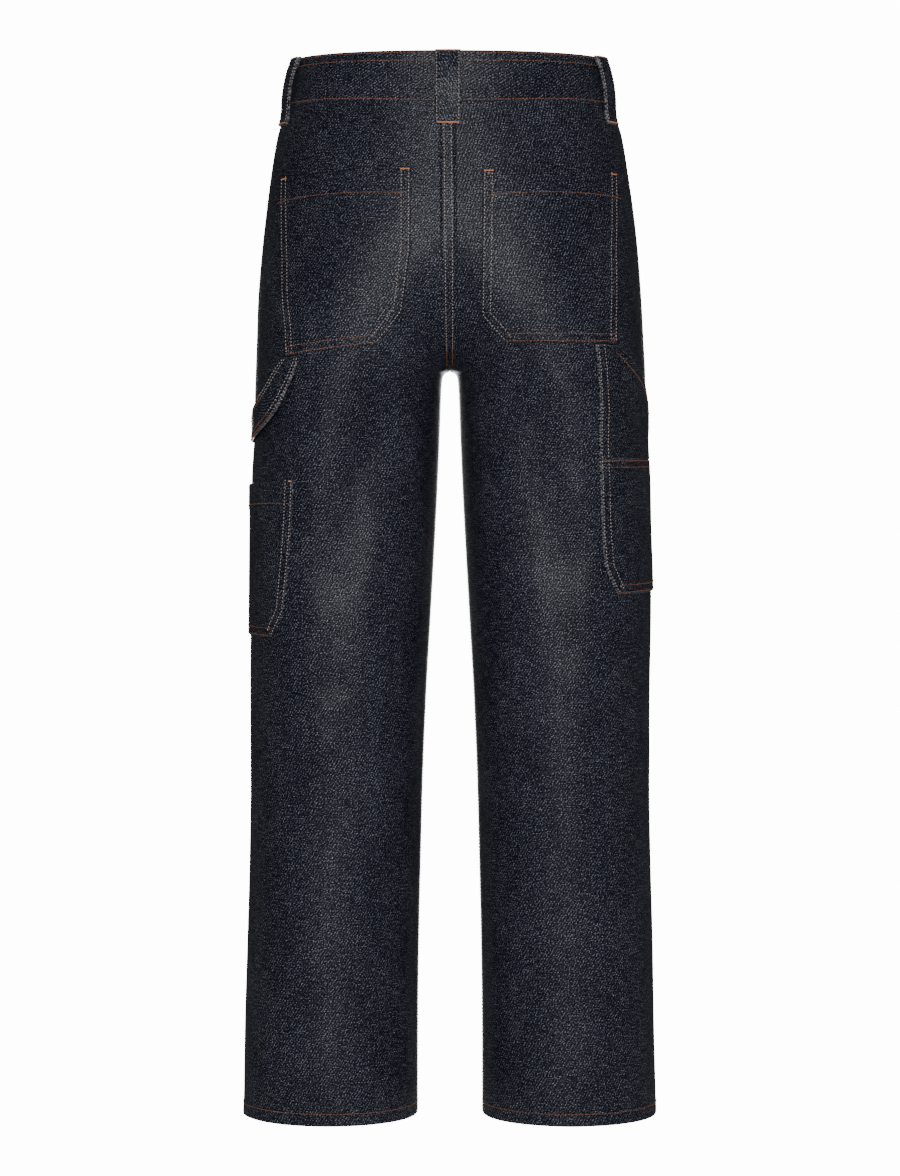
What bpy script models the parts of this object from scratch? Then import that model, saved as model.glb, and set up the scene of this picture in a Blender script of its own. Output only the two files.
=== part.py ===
"""Carpenter jeans in raw indigo denim, filled out as if worn, with the waist and both hems open.

The wearer faces -Y, the wearer's left is +X and +Z is up. The origin is the middle of the waist, where the
wearer holds the jeans up. Each cut piece of cloth is a thin wall on one shared form: a round through the
garment at each height, split into two legs below the crotch. A place on that form is a side (+1 left, -1
right), a length round it from the widest line at the side (back is negative, front is positive) and a height.
"""

from collections import namedtuple

import bmesh
import bpy
import numpy as np

# Cloth, seams and heights, in metres
CLOTH = 0.0015
SEAM_GAP = 0.0003
BAND_CLOTH = 0.0030
BAND_PROUD = 0.0007
BAND_TOP = 0.0203
BAND_SEAM = -0.0247
BAND_DIP = 0.0037
BAND_DIP_HALF = 0.120
CROTCH = -0.2795
HEM = -1.0038
HEM_TURN = 0.012
HEM_STEP = 0.0015

# How the two rounds of the legs draw apart above the crotch, and the form between them
SPLIT_HEIGHT = 0.190
SPLIT_POWER = 1.2
VALLEY_ROUND = 0.015
VALLEY_HEIGHT = 0.100
GAP_ROUND = 0.004

# Seams on the form: the outseam lies in front of the widest line
OUTSEAM = 0.035

# The garment's own rounds, in millimetres: how far the left and the right side stand from the middle, half
# the gap between the legs, how far the back and the front stand out, and how square the round is (2 = oval)
Level = namedtuple("Level", "height left right gap back front square")
LEVELS = [
    Level(20.3, 151.0, 152.0, 7.0, 112.0, 108.0, 2.30),
    Level(-24.7, 158.5, 158.5, 7.0, 115.0, 111.0, 2.30),
    Level(-53.0, 167.5, 167.0, 7.0, 118.0, 113.0, 2.30),
    Level(-92.0, 174.0, 173.5, 7.0, 121.5, 114.0, 2.30),
    Level(-131.0, 179.0, 179.0, 7.0, 124.0, 114.0, 2.30),
    Level(-170.0, 183.3, 183.3, 7.0, 125.0, 113.0, 2.28),
    Level(-210.0, 187.0, 186.5, 7.0, 124.0, 111.0, 2.25),
    Level(-250.0, 188.5, 188.8, 7.3, 120.5, 108.5, 2.20),
    Level(-280.0, 189.7, 190.5, 7.8, 117.0, 106.8, 2.18),
    Level(-307.0, 190.6, 191.0, 8.8, 113.5, 105.0, 2.15),
    Level(-346.0, 191.2, 191.2, 10.2, 108.5, 103.0, 2.12),
    Level(-385.0, 193.0, 193.2, 11.8, 104.5, 101.0, 2.10),
    Level(-424.0, 193.4, 194.0, 13.7, 101.0, 99.5, 2.10),
    Level(-502.0, 194.2, 196.2, 18.0, 96.0, 96.0, 2.10),
    Level(-600.0, 195.0, 195.0, 23.5, 90.5, 92.0, 2.08),
    Level(-677.0, 194.8, 194.8, 26.6, 87.5, 89.0, 2.06),
    Level(-755.0, 196.0, 196.2, 28.6, 86.0, 87.0, 2.05),
    Level(-833.0, 198.3, 198.4, 30.4, 85.0, 85.5, 2.05),
    Level(-920.0, 201.0, 200.0, 31.4, 84.5, 84.5, 2.05),
    Level(-1004.0, 202.3, 202.3, 31.6, 84.5, 84.0, 2.05),
]
SECTION_STEPS = 180

# The largest folds, in millimetres: soft troughs (depth below 0) and ridges on one side's form, from one
# place (length round the form, height) to another
Fold = namedtuple("Fold", "side from_round from_height to_round to_height width depth")
FOLDS = [
    Fold(1, -205, -300, -140, -470, 30, -5.0),
    Fold(-1, -205, -300, -145, -455, 30, -5.0),
    Fold(1, -120, -330, -110, -620, 34, 2.5),
    Fold(-1, -120, -330, -110, -600, 34, 2.5),
]

# The folds fade out this far from the centre seams above the crotch, and join up this far below it
FOLD_FADE = 0.045
FOLD_JOIN = 0.060

# What lies on the panels: its gap and the thickness of patches, loops and the strap
PATCH_GAP = 0.0006
PATCH_CLOTH = 0.0016
STRAP_CLOTH = 0.0020
# How far behind the form the pieces under the front panels lie
BEHIND = 0.0027

# Back pockets, in millimetres: the inner edge by its distance from the middle, the outer edge by its length
# round from the side, from the mouth down to the clipped corner and the bottom
PocketRow = namedtuple("PocketRow", "inner_x inner_height outer_round outer_height")
BACK_POCKETS = {
    1: [
        PocketRow(36.4, -91.0, -62.0, -97.3),
        PocketRow(37.0, -166.0, -87.5, -178.0),
        PocketRow(45.0, -226.0, -100.5, -240.0),
        PocketRow(68.5, -255.7, -103.0, -267.1),
    ],
    -1: [
        PocketRow(30.5, -92.8, -63.5, -92.6),
        PocketRow(30.0, -170.0, -88.0, -169.0),
        PocketRow(30.0, -229.0, -98.0, -229.0),
        PocketRow(52.4, -254.7, -99.5, -254.7),
    ],
}

# Leg pockets, in millimetres: the back edge's length round and height, and the height at the outseam
PatchRow = namedtuple("PatchRow", "back_round back_height front_height")
LEG_PATCH = [
    PatchRow(-109.0, -384.0, -391.0),
    PatchRow(-102.0, -440.0, -441.0),
    PatchRow(-91.5, -511.0, -511.0),
    PatchRow(-75.0, -535.0, -534.0),
]
TOOL_JOINT = -365.0
TOOL_LOWER = [
    PatchRow(-116.0, TOOL_JOINT, TOOL_JOINT),
    PatchRow(-110.5, -434.0, -434.0),
    PatchRow(-106.5, -468.0, -468.0),
    PatchRow(-92.5, -493.5, -491.0),
]
TOOL_TOP_BACK = -126.0
# The slanted mouth of the tool pocket, in millimetres, from under the back pocket to the outseam
Mouth = namedtuple("Mouth", "round height")
TOOL_MOUTH = [
    Mouth(-130.0, -256.0),
    Mouth(-99.0, -256.2),
    Mouth(-87.0, -263.7),
    Mouth(-78.0, -270.2),
    Mouth(-58.0, -281.7),
    Mouth(-40.0, -291.6),
    Mouth(0.0, -315.0),
    Mouth(36.0, -336.0),
]

# The hammer loop's two edges and how far it stands off the leg, in millimetres
StrapRow = namedtuple("StrapRow", "low_round low_height high_round high_height lift")
HAMMER_LOOP = [
    StrapRow(-119.5, -266.3, -99.5, -268.8, 0.6),
    StrapRow(-113.0, -291.0, -91.0, -280.0, 4.6),
    StrapRow(-99.0, -317.0, -80.0, -296.0, 8.4),
    StrapRow(-76.0, -334.0, -62.0, -309.5, 7.6),
    StrapRow(-45.0, -343.0, -37.0, -318.5, 3.0),
    StrapRow(-7.0, -347.5, -3.0, -323.5, 1.0),
    StrapRow(34.7, -350.0, 34.7, -326.0, 0.6),
]

# Belt loops, in millimetres: above the waist seam, how far the inside of the loop stands off, and its
# thickness, which is double where the ends are folded under
LoopRow = namedtuple("LoopRow", "above_seam lift thick")
BELT_LOOP = [
    LoopRow(-20.0, 0.6, 3.0),
    LoopRow(-14.0, 0.9, 3.0),
    LoopRow(-7.0, 3.2, 2.2),
    LoopRow(4.0, 5.6, 2.0),
    LoopRow(18.0, 6.4, 2.0),
    LoopRow(31.0, 5.2, 2.2),
    LoopRow(39.0, 2.4, 3.6),
    LoopRow(45.5, 1.3, 3.8),
]
LOOP_WIDTH = 0.024
BACK_LOOP_X = 0.002
SIDE_LOOPS = {1: -0.038, -1: -0.049}
FRONT_LOOP = 0.139

# Front closure: the waistband's right end runs under its left end, over the fly shield
UNDERLAP = 0.036
UNDERLAP_RAMP = 0.030
SHIELD_LEFT = 0.036
SHIELD_RIGHT = 0.028
SHIELD_END = -0.185
BUTTON_X = 0.018
BUTTON_GAP = 0.0006
# The button's turned outline, in millimetres: radius and height above the cloth
ButtonRow = namedtuple("ButtonRow", "radius rise")
BUTTON = [
    ButtonRow(5.0, 0.0),
    ButtonRow(8.0, 0.7),
    ButtonRow(8.6, 1.6),
    ButtonRow(8.2, 2.6),
    ButtonRow(7.2, 3.1),
    ButtonRow(6.4, 2.7),
]
BUTTON_SIDES = 24

# Front pocket mouths: a quarter oval from the waist seam to the outseam, over a facing
SCOOP_WIDTH = 0.092
SCOOP_HEIGHT = 0.078
SCOOP_TUCK = 0.014
SCOOP_ROWS = BAND_SEAM - SEAM_GAP - SCOOP_HEIGHT * np.array([0.93, 0.985, 1.0])

# Grids: a panel's heights above and below the crotch, and its columns
ROWS_ABOVE = 11
NEAR_CROTCH = (0.034, 0.019, 0.008, 0.0025, 0.0, -0.0015, -0.005, -0.013, -0.028)
ROWS_BELOW = 22
PANEL_COLUMNS = 13
SLIP_HEIGHT = 0.030
SLIP_POWER = 6
POCKET_COLUMNS = 11
POCKET_ROWS = (4, 4, 3)
LEG_PATCH_ROWS = (3, 4, 2)
TOOL_LOWER_ROWS = (4, 2, 2)
TOOL_UPPER_ROWS = 7
FACING_ROWS = (0, 0.2, 0.4, 0.6, 0.75, 0.88, 1.0, 1.15)
FACING_COLUMNS = 7
STRAP_STATIONS = 22
LOOP_STATIONS = 14
NARROW_COLUMNS = 4
SHIELD_ROWS = 8
BAND_STATIONS = 30
UNDERLAP_STATIONS = 7

DENIM = (0.020, 0.023, 0.034, 1.0)
DENIM_TRIM = (0.026, 0.030, 0.042, 1.0)
BRASS = (0.45, 0.27, 0.13, 1.0)


def eased(table, column, heights):
    """A column of the table at any heights, on smooth curves that don't overshoot its rows."""
    rows = sorted(table)
    at = np.array([row.height for row in rows]) / 1000
    value = np.array([getattr(row, column) for row in rows])
    step = np.diff(at)
    slope = np.diff(value) / step
    before, after = slope[:-1], slope[1:]
    same_way = before * after > 0
    mean = np.where(same_way, 2 * before * after / np.where(same_way, before + after, 1), 0)
    tangent = np.concatenate([slope[:1], mean, slope[-1:]])
    heights = np.clip(heights, at[0], at[-1])
    i = np.clip(np.searchsorted(at, heights) - 1, 0, len(step) - 1)
    t = (heights - at[i]) / step[i]
    return (
        value[i] * (1 + 2 * t) * (1 - t) ** 2
        + tangent[i] * step[i] * t * (1 - t) ** 2
        + value[i + 1] * t * t * (3 - 2 * t)
        + tangent[i + 1] * step[i] * t * t * (t - 1)
    )


def smooth(t):
    """Eases from 0 to 1."""
    t = np.clip(t, 0, 1)
    return t * t * (3 - 2 * t)


def rounds(side, heights):
    """x, y and the length round the form, nought at the widest line, for one side: a row for each height."""
    z = np.asarray(heights, float)[:, None]
    outer = eased(LEVELS, "left" if side > 0 else "right", z) / 1000
    back = eased(LEVELS, "back", z) / 1000
    front = eased(LEVELS, "front", z) / 1000
    square = eased(LEVELS, "square", z)
    rise = np.clip((z - CROTCH) / SPLIT_HEIGHT, 0, 1)
    split = (1 - rise) ** SPLIT_POWER
    drop = np.clip(CROTCH - z, 0, None)
    gap = eased(LEVELS, "gap", z) / 1000
    parting = outer * SPLIT_POWER / SPLIT_HEIGHT / 2
    inner = gap * (1 - np.exp(-parting * drop / gap)) - outer * (1 - split) / (1 + split)
    middle, half = (outer + inner) / 2, (outer - inner) / 2
    valley = VALLEY_ROUND * np.tanh(np.clip(z - CROTCH, 0, None) / VALLEY_HEIGHT)
    arch = np.clip(gap**2 * (1 - np.exp(-drop / GAP_ROUND)) - inner**2, 0, None) * (drop > 0)
    move = arch - valley**2
    reach = np.clip((valley - middle) / half, -1, 1)
    start = np.where(z < CROTCH, np.pi, np.arccos(np.sign(reach) * np.abs(reach) ** (square / 2)))
    turn = start * np.linspace(1, -1, SECTION_STEPS * 2 + 1)[None, :]
    cos, sin = np.cos(turn), np.sin(turn)
    x = middle + half * np.sign(cos) * np.abs(cos) ** (2 / square)
    y = np.where(sin > 0, back, front) * np.sign(sin) * np.abs(sin) ** (2 / square)
    x = np.sqrt(np.clip(x * x + move, 0, None)) * outer / np.sqrt(outer**2 + move)
    length = np.concatenate([z * 0, np.cumsum(np.hypot(np.diff(x), np.diff(y)), axis=1)], axis=1)
    return x, y, length - length[:, SECTION_STEPS : SECTION_STEPS + 1]


def read_row(table, i, t):
    """Each row's own value between its columns i and i + 1."""
    rows = np.arange(len(table))
    return table[rows, i] * (1 - t) + table[rows, i + 1] * t


def on_form(side, length, height):
    """Places on the bare form, for arrays of lengths round it and heights."""
    length, height = np.broadcast_arrays(np.asarray(length, float), np.asarray(height, float))
    x, y, along = rounds(side, height.ravel())
    want = np.clip(length.ravel(), along[:, 0], along[:, -1])
    i = np.clip((along <= want[:, None]).sum(axis=1) - 1, 0, along.shape[1] - 2)
    first, last = read_row(along, i, 0), read_row(along, i, 1)
    t = (want - first) / np.where(last > first, last - first, 1)
    places = np.stack([side * read_row(x, i, t), read_row(y, i, t), height.ravel()], axis=1)
    return places.reshape(length.shape + (3,))


def way_out(side, length, height, step=0.0015):
    """The direction that points straight out of the cloth."""
    across = on_form(side, length + step, height) - on_form(side, length - step, height)
    up = on_form(side, length, height + step) - on_form(side, length, height - step)
    out = side * np.cross(up, across)
    return out / np.maximum(np.linalg.norm(out, axis=-1, keepdims=True), 1e-12)


def ends(side, height):
    """The lengths at which one side's form starts at the back and ends at the front."""
    along = rounds(side, np.ravel(height))[2]
    shape = np.shape(height)
    return along[:, 0].reshape(shape), along[:, -1].reshape(shape)


def fold_height(side, length, height):
    """How far the folds raise the cloth, faded out beside the centre seams."""
    first, last = ends(side, height)
    whole = np.where(height < CROTCH, last - first, 1e3)
    raised = np.zeros(np.shape(length))
    for fold in FOLDS:
        if fold.side != side:
            continue
        a = np.array([fold.from_round, fold.from_height]) / 1000
        b = np.array([fold.to_round, fold.to_height]) / 1000
        run = b - a
        for lap in (-1, 0, 1):
            off = np.stack([length + lap * whole - a[0], height - a[1]], axis=-1)
            t = np.clip(off @ run / (run @ run), 0, 1)
            away = np.linalg.norm(off - t[..., None] * run, axis=-1)
            raised += fold.depth / 1000 * np.exp(-((away / (fold.width / 1000)) ** 2))
    beside = smooth(np.minimum(length - first, last - length) / FOLD_FADE)
    joined = smooth((height - CROTCH + FOLD_JOIN) / FOLD_JOIN)
    return raised * (1 - joined * (1 - beside))


def lifted(side, length, height, lift):
    """Places on the folded cloth, moved out by lift and kept off the middle plane above the crotch."""
    length, height = np.broadcast_arrays(np.asarray(length, float), np.asarray(height, float))
    raised = fold_height(side, length, height) + lift
    places = on_form(side, length, height) + way_out(side, length, height) * raised[..., None]
    places[..., 0] = side * np.maximum(side * places[..., 0], SEAM_GAP / 2)
    return places


def material(name, colour, roughness, metallic=0.0):
    """A plain finish for one piece."""
    made = bpy.data.materials.new(name)
    made.use_nodes = True
    finish = made.node_tree.nodes["Principled BSDF"]
    finish.inputs["Base Color"].default_value = colour
    finish.inputs["Roughness"].default_value = roughness
    finish.inputs["Metallic"].default_value = metallic
    return made


def add_object(name, mesh, finish):
    """Shades a mesh smooth, gives it its finish and puts it in the scene."""
    mesh.shade_smooth()
    mesh.set_sharp_from_angle(angle=np.radians(40))
    mesh.materials.append(finish)
    made = bpy.data.objects.new(name, mesh)
    bpy.context.collection.objects.link(made)
    return made


def wall(name, outer, inner, finish):
    """A closed wall of cloth between two grids of points, outer and inner."""
    bm = bmesh.new()
    rows, columns = outer.shape[:2]
    front = [[bm.verts.new(p) for p in row] for row in outer]
    behind = [[bm.verts.new(p) for p in row] for row in inner]
    for r in range(rows - 1):
        for c in range(columns - 1):
            for grid in (front, behind):
                bm.faces.new((grid[r][c], grid[r][c + 1], grid[r + 1][c + 1], grid[r + 1][c]))
    edge = [(0, c) for c in range(columns)]
    edge += [(r, columns - 1) for r in range(1, rows)]
    edge += [(rows - 1, c) for c in reversed(range(columns - 1))]
    edge += [(r, 0) for r in reversed(range(1, rows - 1))]
    for (r, c), (s, d) in zip(edge, edge[1:] + edge[:1]):
        bm.faces.new((front[r][c], front[s][d], behind[s][d], behind[r][c]))
    bmesh.ops.triangulate(bm, faces=bm.faces[:])
    bmesh.ops.recalc_face_normals(bm, faces=bm.faces[:])
    mesh = bpy.data.meshes.new(name)
    bm.to_mesh(mesh)
    bm.free()
    return add_object(name, mesh, finish)


def band_seam(x, at_back):
    """Height of the waistband's lower seam, which dips at the centre back."""
    dip = np.clip(1 - (x / BAND_DIP_HALF) ** 2, 0, 1) ** 1.5
    return BAND_SEAM - BAND_DIP * dip * at_back


def panel_rows():
    """Heights of a panel's rows from the waist seam to the hem, close together round the crotch."""
    above = np.linspace(BAND_SEAM - SEAM_GAP, CROTCH + NEAR_CROTCH[0], ROWS_ABOVE)[:-1]
    near = CROTCH + np.array(NEAR_CROTCH)
    turn = HEM + HEM_TURN + HEM_STEP
    below = np.linspace(near[-1], turn, ROWS_BELOW)[1:]
    return np.concatenate([above, near, below, [HEM + HEM_TURN, HEM]])


def panel_grid(side, start, stop, rows, columns):
    """Lengths and heights of a grid between two edges, which are functions of height. Just above the crotch the
    stop edge runs quickly round the leg, and only the columns beside it follow."""
    height = np.repeat(rows[:, None], columns, axis=1)
    share = np.linspace(0, 1, columns)[None, :]
    depth = on_form(side, stop(height[:, :1]), height[:, :1])[..., 1]
    slip = depth * np.exp(-np.clip(height[:, :1] - CROTCH, 0, None) / SLIP_HEIGHT)
    first, last = start(height), stop(height)
    length = first + (last - slip - first) * share + slip * share**SLIP_POWER
    return length, height


def wall_depth(height):
    """Thickness of a panel: the hem is turned up twice inside."""
    return np.where(height <= HEM + HEM_TURN + HEM_STEP / 2, 2 * CLOTH, CLOTH)


def back_panel(side, name, finish):
    """One back panel, from the centre back and the inseam round to the outseam."""
    length, height = panel_grid(
        side,
        lambda z: OUTSEAM - SEAM_GAP / 2 + 0 * z,
        lambda z: ends(side, z)[0] + SEAM_GAP / 2,
        panel_rows(),
        PANEL_COLUMNS,
    )
    x = on_form(side, length[0], height[0])[:, 0]
    behind = (length[0] < 0).astype(float)
    height[0] = band_seam(x, behind) - SEAM_GAP
    outer = lifted(side, length, height, 0.0)
    inner = lifted(side, length, height, -wall_depth(height))
    return wall(name, outer, inner, finish)


def front_panel(side, name, finish):
    """One front panel, from the outseam and the curved pocket mouth to the centre front and the inseam."""
    length, height = panel_grid(
        side,
        lambda z: OUTSEAM + SEAM_GAP / 2 + scoop(z),
        lambda z: ends(side, z)[1] - SEAM_GAP / 2,
        np.sort(np.concatenate([panel_rows(), SCOOP_ROWS]))[::-1],
        PANEL_COLUMNS,
    )
    outer = lifted(side, length, height, 0.0)
    inner = lifted(side, length, height, -wall_depth(height))
    return wall(name, outer, inner, finish)


def scoop(height):
    """How far in front of the outseam the pocket's mouth runs at a height."""
    down = np.clip((BAND_SEAM - SEAM_GAP - height) / SCOOP_HEIGHT, 0, 1)
    return SCOOP_WIDTH * np.sqrt(1 - down**2)


def facing(side, name, finish):
    """The piece seen in a front pocket's mouth, tucked behind the front panel."""
    top = BAND_SEAM - SEAM_GAP
    rows = top - SCOOP_HEIGHT * np.array(FACING_ROWS)
    length, height = panel_grid(
        side,
        lambda z: OUTSEAM + SEAM_GAP / 2 + 0 * z,
        lambda z: OUTSEAM + scoop(z) + SCOOP_TUCK,
        rows,
        FACING_COLUMNS,
    )
    outer = lifted(side, length, height, -BEHIND)
    inner = lifted(side, length, height, -BEHIND - CLOTH)
    return wall(name, outer, inner, finish)


def length_at_x(side, x, height):
    """The length round the form where its back is x from the middle."""
    across, _, along = rounds(side, np.ravel(height))
    half = SECTION_STEPS + 1
    found = [np.interp(a, xs[:half], ls[:half]) for a, xs, ls in zip(np.ravel(x), across, along)]
    return np.array(found).reshape(np.shape(height))


def rows_between(corners, counts):
    """Rows of values laid evenly between a table's rows, counts for each stretch, in metres."""
    table = np.array(corners) / 1000
    parts = [
        a + (b - a) * np.linspace(0, 1, count, endpoint=False)[:, None]
        for a, b, count in zip(table[:-1], table[1:], counts)
    ]
    return np.concatenate(parts + [table[-1:]])


def patch(name, side, length, height, finish):
    """A flat piece sewn on a panel, made from the panel's places moved out."""
    outer = lifted(side, length, height, PATCH_GAP + PATCH_CLOTH)
    inner = lifted(side, length, height, PATCH_GAP)
    return wall(name, outer, inner, finish)


def back_pocket(side, name, finish):
    """A back pocket, with its inner lower corner clipped off."""
    rows = rows_between(BACK_POCKETS[side], POCKET_ROWS)
    inner = length_at_x(side, rows[:, 0], rows[:, 1])
    share = np.linspace(0, 1, POCKET_COLUMNS)[None, :]
    length = inner[:, None] * (1 - share) + rows[:, 2:3] * share
    height = rows[:, 1:2] * (1 - share) + rows[:, 3:4] * share
    return patch(name, side, length, height, finish)


def leg_pocket(side, name, table, counts, finish):
    """A pocket whose front edge is caught in the outseam."""
    rows = rows_between(table, counts)
    share = np.linspace(0, 1, POCKET_COLUMNS)[None, :]
    length = rows[:, 0:1] * (1 - share) + (OUTSEAM - SEAM_GAP / 2) * share
    height = rows[:, 1:2] * (1 - share) + rows[:, 2:3] * share
    return patch(name, side, length, height, finish)


def tool_upper(side, name, finish):
    """The tool pocket's upper piece, from its slanted mouth down to the joint."""
    joint = TOOL_JOINT / 1000 + SEAM_GAP
    down = np.linspace(0, 1, TOOL_UPPER_ROWS)[:, None]
    start = (TOOL_TOP_BACK + (TOOL_LOWER[0].back_round - TOOL_TOP_BACK) * down) / 1000
    share = np.linspace(0, 1, POCKET_COLUMNS + 2)[None, :]
    length = start * (1 - share) + (OUTSEAM - SEAM_GAP / 2) * share
    mouth = np.array(TOOL_MOUTH) / 1000
    top = np.interp(length, mouth[:, 0], mouth[:, 1])
    height = top * (1 - down) + joint * down
    return patch(name, side, length, height, finish)


def through(corners, count):
    """Rows on a smooth curve through a table's rows, in metres."""
    table = np.array(corners) / 1000
    ends_too = np.concatenate([2 * table[:1] - table[1:2], table, 2 * table[-1:] - table[-2:-1]])
    made = []
    for at in np.linspace(0, len(table) - 1, count):
        i = min(int(at), len(table) - 2)
        t = at - i
        before, a, b, after = ends_too[i : i + 4]
        bend = 2 * before - 5 * a + 4 * b - after
        made.append(a + t / 2 * (b - before + t * (bend + t * (3 * a - before - 3 * b + after))))
    return np.array(made)


def hammer_loop(side, name, finish):
    """The slack strap from the back pocket's lower corner to the outseam."""
    rows = through(HAMMER_LOOP, STRAP_STATIONS)
    share = np.linspace(0, 1, NARROW_COLUMNS)[None, :]
    length = rows[:, 0:1] * (1 - share) + rows[:, 2:3] * share
    height = rows[:, 1:2] * (1 - share) + rows[:, 3:4] * share
    lift = np.repeat(np.maximum(rows[:, 4:5], PATCH_GAP), NARROW_COLUMNS, axis=1)
    outer = lifted(side, length, height, lift + STRAP_CLOTH)
    inner = lifted(side, length, height, lift)
    return wall(name, outer, inner, finish)


def belt_loop(name, side, middle, finish):
    """One loop over the waistband, centred on a length round the form."""
    rows = through(BELT_LOOP, LOOP_STATIONS)
    length = middle + LOOP_WIDTH * np.linspace(-0.5, 0.5, NARROW_COLUMNS)[None, :] + 0 * rows[:, :1]
    height = BAND_SEAM + rows[:, :1] + 0 * length
    lift = rows[:, 1:2] + 0 * length
    outer = lifted(side, length, height, lift + rows[:, 2:3])
    inner = lifted(side, length, height, lift)
    return wall(name, outer, inner, finish)


def back_loop(name, finish):
    """The loop over the centre back seam."""
    rows = through(BELT_LOOP, LOOP_STATIONS)
    grids = []
    for lift in (rows[:, 1] + rows[:, 2], rows[:, 1]):
        columns = []
        for x in BACK_LOOP_X + LOOP_WIDTH * np.linspace(-0.5, 0.5, 5):
            side = 1 if x > 0 else -1
            seam = band_seam(x, 1.0)
            height = seam + rows[:, 0] * (BAND_TOP - seam) / (BAND_TOP - BAND_SEAM)
            length = length_at_x(side, np.full(len(rows), abs(x)), height)
            columns.append(lifted(side, length, height, lift))
        grids.append(np.stack(columns, axis=1))
    return wall(name, grids[0], grids[1], finish)


def waistband(name, finish):
    """One strip from the left end at the centre front, round the back, to the underlap behind that end."""
    stations = []
    share = np.linspace(0, 1, BAND_STATIONS)
    first, last = (float(v) for v in ends(1, BAND_SEAM))
    stations += [(1, last + (first - last) * t) for t in share]
    first, last = (float(v) for v in ends(-1, BAND_SEAM))
    stations += [(-1, first + (last - first) * t) for t in share[1:]]
    last = float(ends(1, BAND_SEAM)[1])
    stations += [(1, last - UNDERLAP * t / UNDERLAP_STATIONS) for t in range(1, UNDERLAP_STATIONS + 1)]
    outer, inner = [], []
    for number, (side, length) in enumerate(stations):
        under = number >= 2 * BAND_STATIONS - 1
        x = abs(float(on_form(side, length, BAND_SEAM)[0]))
        seam = float(band_seam(x, float(length < 0)))
        height = np.array([seam, (seam + BAND_TOP) / 2, BAND_TOP])
        tuck = 1.0 if under else 0.0
        if side < 0 and length > 0:
            tuck = float(smooth(1 - x / UNDERLAP_RAMP))
        lift = BAND_PROUD - tuck * (BAND_CLOTH + SEAM_GAP)
        scale = along_scale(side, length, height)
        outer.append(lifted(side, length * scale, height, lift))
        inner.append(lifted(side, length * scale, height, lift - BAND_CLOTH))
    return wall(name, np.stack(outer, axis=1), np.stack(inner, axis=1), finish)


def along_scale(side, length, height):
    """Keeps a place on the waistband at the same share of its round at every height."""
    first, last = ends(side, height)
    seam_first, seam_last = ends(side, BAND_SEAM)
    return np.where(length < 0, first / seam_first, last / seam_last)


def fly_shield(name, finish):
    """The strip behind the front opening."""
    heights = np.linspace(BAND_SEAM - SEAM_GAP, SHIELD_END, SHIELD_ROWS)
    across = [-SHIELD_RIGHT, -SHIELD_RIGHT / 2, -SEAM_GAP, SHIELD_LEFT / 2, SHIELD_LEFT]
    grids = []
    for depth in (BEHIND, BEHIND + CLOTH):
        columns = []
        for x in across:
            side = 1 if x > 0 else -1
            last = ends(side, heights)[1]
            columns.append(lifted(side, last - abs(x), heights, -depth))
        grids.append(np.stack(columns, axis=1))
    return wall(name, grids[0], grids[1], finish)


def button(name, finish):
    """A turned metal button on the waistband's left end."""
    last = float(ends(1, 0.0)[1])
    centre = lifted(1, last - BUTTON_X, 0.0, BAND_PROUD + BUTTON_GAP)
    bm = bmesh.new()
    rings = []
    for row in BUTTON:
        turn = 2 * np.pi * np.arange(BUTTON_SIDES) / BUTTON_SIDES
        places = [
            (
                centre[0] + row.radius / 1000 * np.cos(a),
                centre[1] - row.rise / 1000,
                centre[2] + row.radius / 1000 * np.sin(a),
            )
            for a in turn
        ]
        rings.append([bm.verts.new(p) for p in places])
    for low, high in zip(rings, rings[1:]):
        for k in range(BUTTON_SIDES):
            n = (k + 1) % BUTTON_SIDES
            bm.faces.new((low[k], low[n], high[n], high[k]))
    bm.faces.new(rings[0])
    bm.faces.new(rings[-1])
    bmesh.ops.triangulate(bm, faces=bm.faces[:])
    bmesh.ops.recalc_face_normals(bm, faces=bm.faces[:])
    mesh = bpy.data.meshes.new(name)
    bm.to_mesh(mesh)
    bm.free()
    return add_object(name, mesh, finish)


def build():
    """Every piece, in a cleared scene."""
    for old in list(bpy.data.objects):
        bpy.data.objects.remove(old)
    denim = material("raw_indigo_denim", DENIM, 0.9)
    trim = material("raw_indigo_denim_trim", DENIM_TRIM, 0.9)
    brass = material("antique_brass", BRASS, 0.35, 1.0)
    for side, word in ((1, "left"), (-1, "right")):
        back_panel(side, f"back_panel_{word}", denim)
        front_panel(side, f"front_panel_{word}", denim)
        facing(side, f"front_pocket_facing_{word}", trim)
        back_pocket(side, f"back_pocket_{word}", trim)
        belt_loop(f"belt_loop_side_{word}", side, SIDE_LOOPS[side], trim)
        belt_loop(f"belt_loop_front_{word}", side, FRONT_LOOP, trim)
    back_loop("belt_loop_back", trim)
    waistband("waistband", denim)
    fly_shield("fly_shield", trim)
    hammer_loop(1, "hammer_loop", trim)
    leg_pocket(1, "leg_pocket_left", LEG_PATCH, LEG_PATCH_ROWS, trim)
    tool_upper(-1, "tool_pocket_upper", trim)
    leg_pocket(-1, "tool_pocket_lower", TOOL_LOWER, TOOL_LOWER_ROWS, trim)
    button("waist_button", brass)


build()
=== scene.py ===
"""Carpenter jeans in raw indigo denim, filled out as if worn: cloth, sewing, finishes, camera and studio.

Every piece of cloth is a fine shell on the same form as its solid: a side (+1 the wearer's left, -1 the
right), a length round that side's form from its widest line (back negative, front positive) and a height.
Sizes in the tables are in millimetres; everything else is in metres.
"""

from collections import namedtuple

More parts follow.
